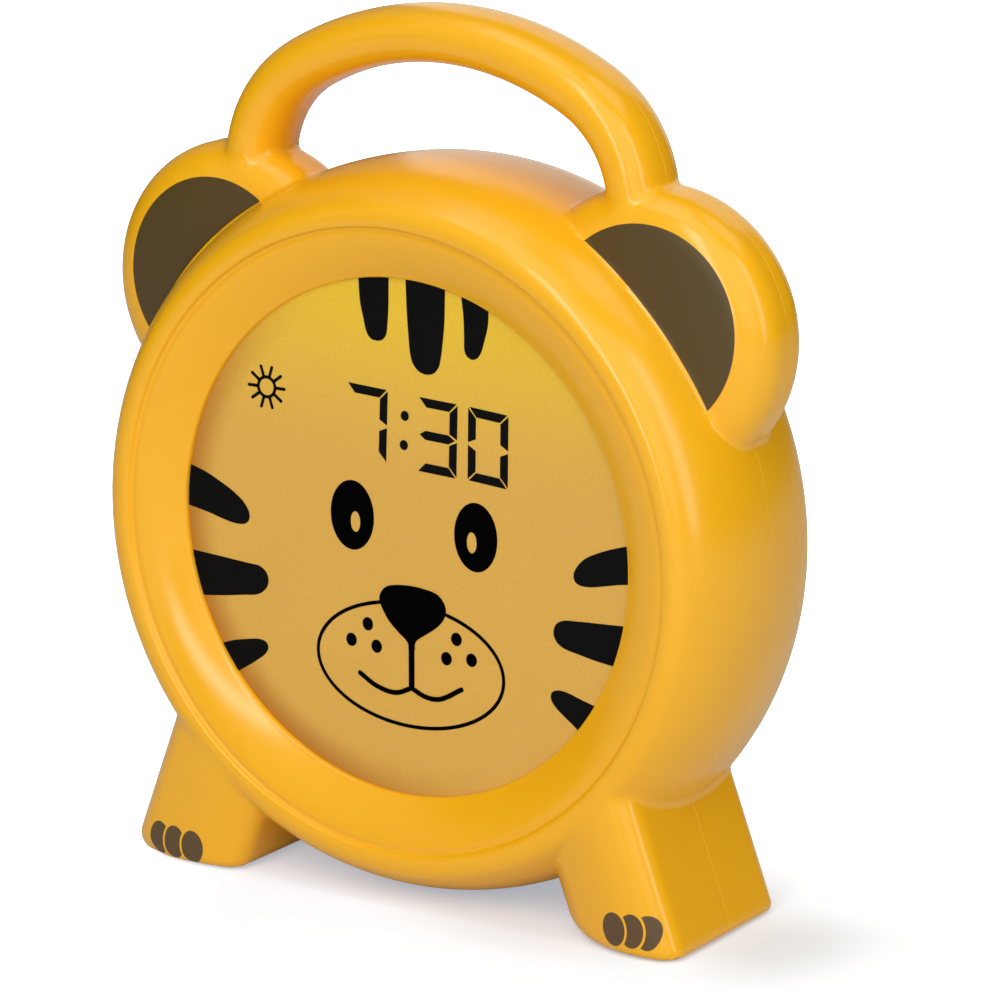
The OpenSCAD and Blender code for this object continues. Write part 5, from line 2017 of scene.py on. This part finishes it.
    def sun(self) -> None:
        """A small sun: a ring with rays about it."""
        sizes = {"Ring radius": 2.4, "Line": 0.78, "Rays": 10, "Ray middle": 3.95, "Ray length": 2.3}
        recipe = Recipe("sun_icon", sizes | {"Ink": self.ink_t})
        size = recipe.size
        line, ink, length = size("Line"), size("Ink"), size("Ray length")
        inputs = {"Resolution": 48, "Radius": size("Ring radius")}
        circle = recipe.add("GeometryNodeCurvePrimitiveCircle", inputs=inputs)
        pen = recipe.add("GeometryNodeCurvePrimitiveQuadrilateral", inputs={"Width": line, "Height": ink})
        ring = recipe.add("GeometryNodeCurveToMesh", inputs={"Curve": circle, "Profile Curve": pen})
        ends = {
            "Count": 2,
            "Start Location": recipe.vector(length * -0.5),
            "Offset": recipe.vector(length * 0.5),
        }
        spots = recipe.add("GeometryNodeMeshLine", {"mode": "END_POINTS"}, ends)
        caps = recipe.repeat(spots, recipe.rod(line * 0.5, ink, 16))
        ray = recipe.join(recipe.box(length, line, ink), caps)
        rays = recipe.repeat(recipe.circle(size("Rays"), size("Ray middle")), ray, turned=True)
        place = recipe.vector(*self.sun_at, self.panel_t + self.ink_t / 2)
        sun = recipe.make(recipe.move(recipe.join(ring, rays), place), INK)
        self.stand.place(sun, Slot.FACE, finish=INK, sharp=None)


# ---- studio


def direction(azimuth: float, elevation: float) -> Vector:
    """The way from the clock to a place seen from it, in degrees; azimuth 0 is its front, 90 its right."""
    a, e = math.radians(azimuth), math.radians(elevation)
    return Vector((math.sin(a) * math.cos(e), -math.cos(a) * math.cos(e), math.sin(e)))


@dataclass(frozen=True)
class Softbox:
    """An oblong lamp on a dome about the clock, placed and sized by the angles that it fills."""

    name: str
    azimuth: float
    elevation: float
    wide: float
    tall: float
    brightness: float
    away: float = 1.4
    target: Point = (0.0, 0.0, 0.1)

    def light(self) -> None:
        """Adds the lamp."""
        data = bpy.data.lights.new(self.name, "AREA")
        data.shape = "RECTANGLE"
        angles = (self.wide, self.tall)
        data.size, data.size_y = (2 * self.away * math.tan(math.radians(a) / 2) for a in angles)
        data.energy = math.pi * data.size * data.size_y * self.brightness
        obj = linked(self.name, data)
        way = direction(self.azimuth, self.elevation)
        obj.location = Vector(self.target) + way * self.away
        obj.rotation_euler = way.to_track_quat("Z", "Y").to_euler()


@dataclass(frozen=True)
class Pool:
    """A soft oval on the floor, in millimetres, and how much more the camera sees of the floor outside it."""

    centre: Spot
    half: Spot
    rise: Spot
    amount: float

    def cover(self, x: Num, back: Num) -> Num:
        """0 in the oval and 1 well outside it."""
        return distance(x, back, self.centre, self.half).ramp(*self.rise)


@dataclass(frozen=True)
class Studio:
    """Floor, lamps, surroundings and camera."""

    azimuth: float = 32.94
    elevation: float = 14.01
    camera_away: float = 1.12
    focal_px: float = 4774.6
    picture_px: float = 1000.0
    target: Point = (0.0144, 0.0009, 0.0957)
    sensor: float = 36.0
    clip: Spot = (0.05, 50.0)
    floor_half: float = 12.0
    # The floor's bluish colour and the bluish lift near the clock keep its shadow grey against the amber
    # bounce light.
    floor_tint: Colour = (0.94, 1.05, 1.21)
    floor_colour: Colour = (0.76, 0.8, 0.84)
    floor_lift: float = 0.07
    behind: Spot = (15.0, 75.0)
    behind_lift: float = 0.4
    # The first pool whitens the floor far from the clock; the second and third are painted shadow, soft ovals
    # that the camera sees darker beside the right foot and in front of the clock.
    pools: tuple[Pool, ...] = (
        Pool((45.0, -5.0), (1.0, 1.0), (88.0, 135.0), 0.6),
        Pool((92.0, -2.0), (27.0, 36.0), (0.1, 1.0), 0.19),
        Pool((38.0, -26.0), (46.0, 17.0), (0.1, 1.0), 0.1),
    )
    tinted: Pool = Pool((0.0, -20.0), (1.0, 1.0), (35.0, 95.0), 1.0)
    lamps: tuple[Softbox, ...] = (
        Softbox("front_strip", 8, 28, 9, 56, 7.6),
        Softbox("right_strip", 82, 24, 10, 48, 3.8),
        Softbox("front_right_panel", 45, 30, 44, 56, 1.5),
        Softbox("front_left_panel", -26, 28, 40, 50, 0.42),
        Softbox("top_front_panel", 0, 72, 40, 22, 1.6),
        Softbox("zenith_panel", -90, 84, 22, 22, 1.2),
        Softbox("top_left_panel", -75, 66, 40, 26, 0.36),
        Softbox("right_back_panel", 125, 62, 26, 26, 1.4),
        Softbox("back_panel", -165, 25, 44, 50, 0.9),
        Softbox("left_back_panel", -125, 28, 40, 45, 0.2),
    )

    def build(self) -> None:
        """Sets the studio up."""
        self.camera()
        self.floor()
        self.world()
        for lamp in self.lamps:
            lamp.light()
        bpy.context.scene.view_settings.view_transform = "Standard"

    def camera(self) -> None:
        """The camera, looking at the clock from its front right."""
        back = direction(self.azimuth, self.elevation)
        data = bpy.data.cameras.new("camera")
        data.sensor_width = self.sensor
        data.lens = self.focal_px / self.picture_px * self.sensor
        data.clip_start, data.clip_end = self.clip
        obj = linked("camera", data)
        obj.location = Vector(self.target) + back * self.camera_away
        obj.rotation_euler = back.to_track_quat("Z", "Y").to_euler()
        bpy.context.scene.camera = obj

    def floor(self) -> None:
        """A plain pale floor that keeps the clock's shadow, with painted shadow to the right of the clock and
        in front of it, and is white everywhere else.
        """
        half = self.floor_half
        mesh = bpy.data.meshes.new("floor")
        corners = [(-half, -half, 0), (half, -half, 0), (half, half, 0), (-half, half, 0)]
        mesh.from_pydata(corners, [], [(0, 1, 2, 3)])
        made = bpy.data.materials.new("floor_white")
        made.use_nodes = True
        tree = Tree(made.node_tree)
        x, back, _ = tree.place()
        lift = back.ramp(*self.behind) * self.behind_lift + self.floor_lift
        # Painted shadow: inside the second and third pools' ovals the camera sees less lift.
        for pool in self.pools:
            lift = lift + pool.cover(x, back) * pool.amount
        diffuse = tree.add("ShaderNodeBsdfDiffuse", inputs={"Color": (*self.floor_colour, 1.0)})
        seen = Num(tree, tree.add("ShaderNodeLightPath").outputs["Is Camera Ray"])
        tint = tree.mix(self.tinted.cover(x, back), self.floor_tint, WHITE)
        glow = tree.add("ShaderNodeEmission", inputs={"Color": tint, "Strength": seen * lift})
        both = tree.add("ShaderNodeAddShader", inputs={0: diffuse.outputs[0], 1: glow.outputs[0]})
        tree.add("ShaderNodeOutputMaterial", inputs={0: both.outputs[0]})
        mesh.materials.append(made)
        linked("floor", mesh)

    def world(self) -> None:
        """Dark surroundings that the camera sees as white."""
        world = bpy.data.worlds.new("surroundings")
        world.use_nodes = True
        bpy.context.scene.world = world
        tree = Tree(world.node_tree)
        seen = Num(tree, tree.add("ShaderNodeLightPath").outputs["Is Camera Ray"])
        light = tree.add("ShaderNodeBackground", inputs={"Color": (*WHITE, 1.0), "Strength": seen})
        tree.add("ShaderNodeOutputWorld", inputs={0: light.outputs[0]})


# ---- main


def dress_frame(nodes: dict[str, bpy.types.Object]) -> None:
    """Gives every CAD node the finish of its slot; steel where no other is named.

    Args:
        nodes: The CAD nodes by name.
    """
    slots = {name: slot for slot, names in NODE_SLOTS.items() for name in names}
    for name, obj in nodes.items():
        slot = slots.get(name, Slot.WHITE if name.endswith("_plunger") else Slot.STEEL)
        obj.data.materials.clear()
        obj.data.materials.append(FINISHES[slot].material())


def main() -> None:
    """Builds the whole scene."""
    logging.basicConfig(level=logging.INFO, format="%(message)s")
    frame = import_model()
    dress_frame(frame["nodes"])
    stand = Stand()
    Studio().build()
    for assembly in (Shells(stand), BatteryDoor(stand), Keys(stand), FacePrint(stand)):
        LOG.info("building %s", type(assembly).__name__)
        assembly.build()


if __name__ == "__main__":
    main()
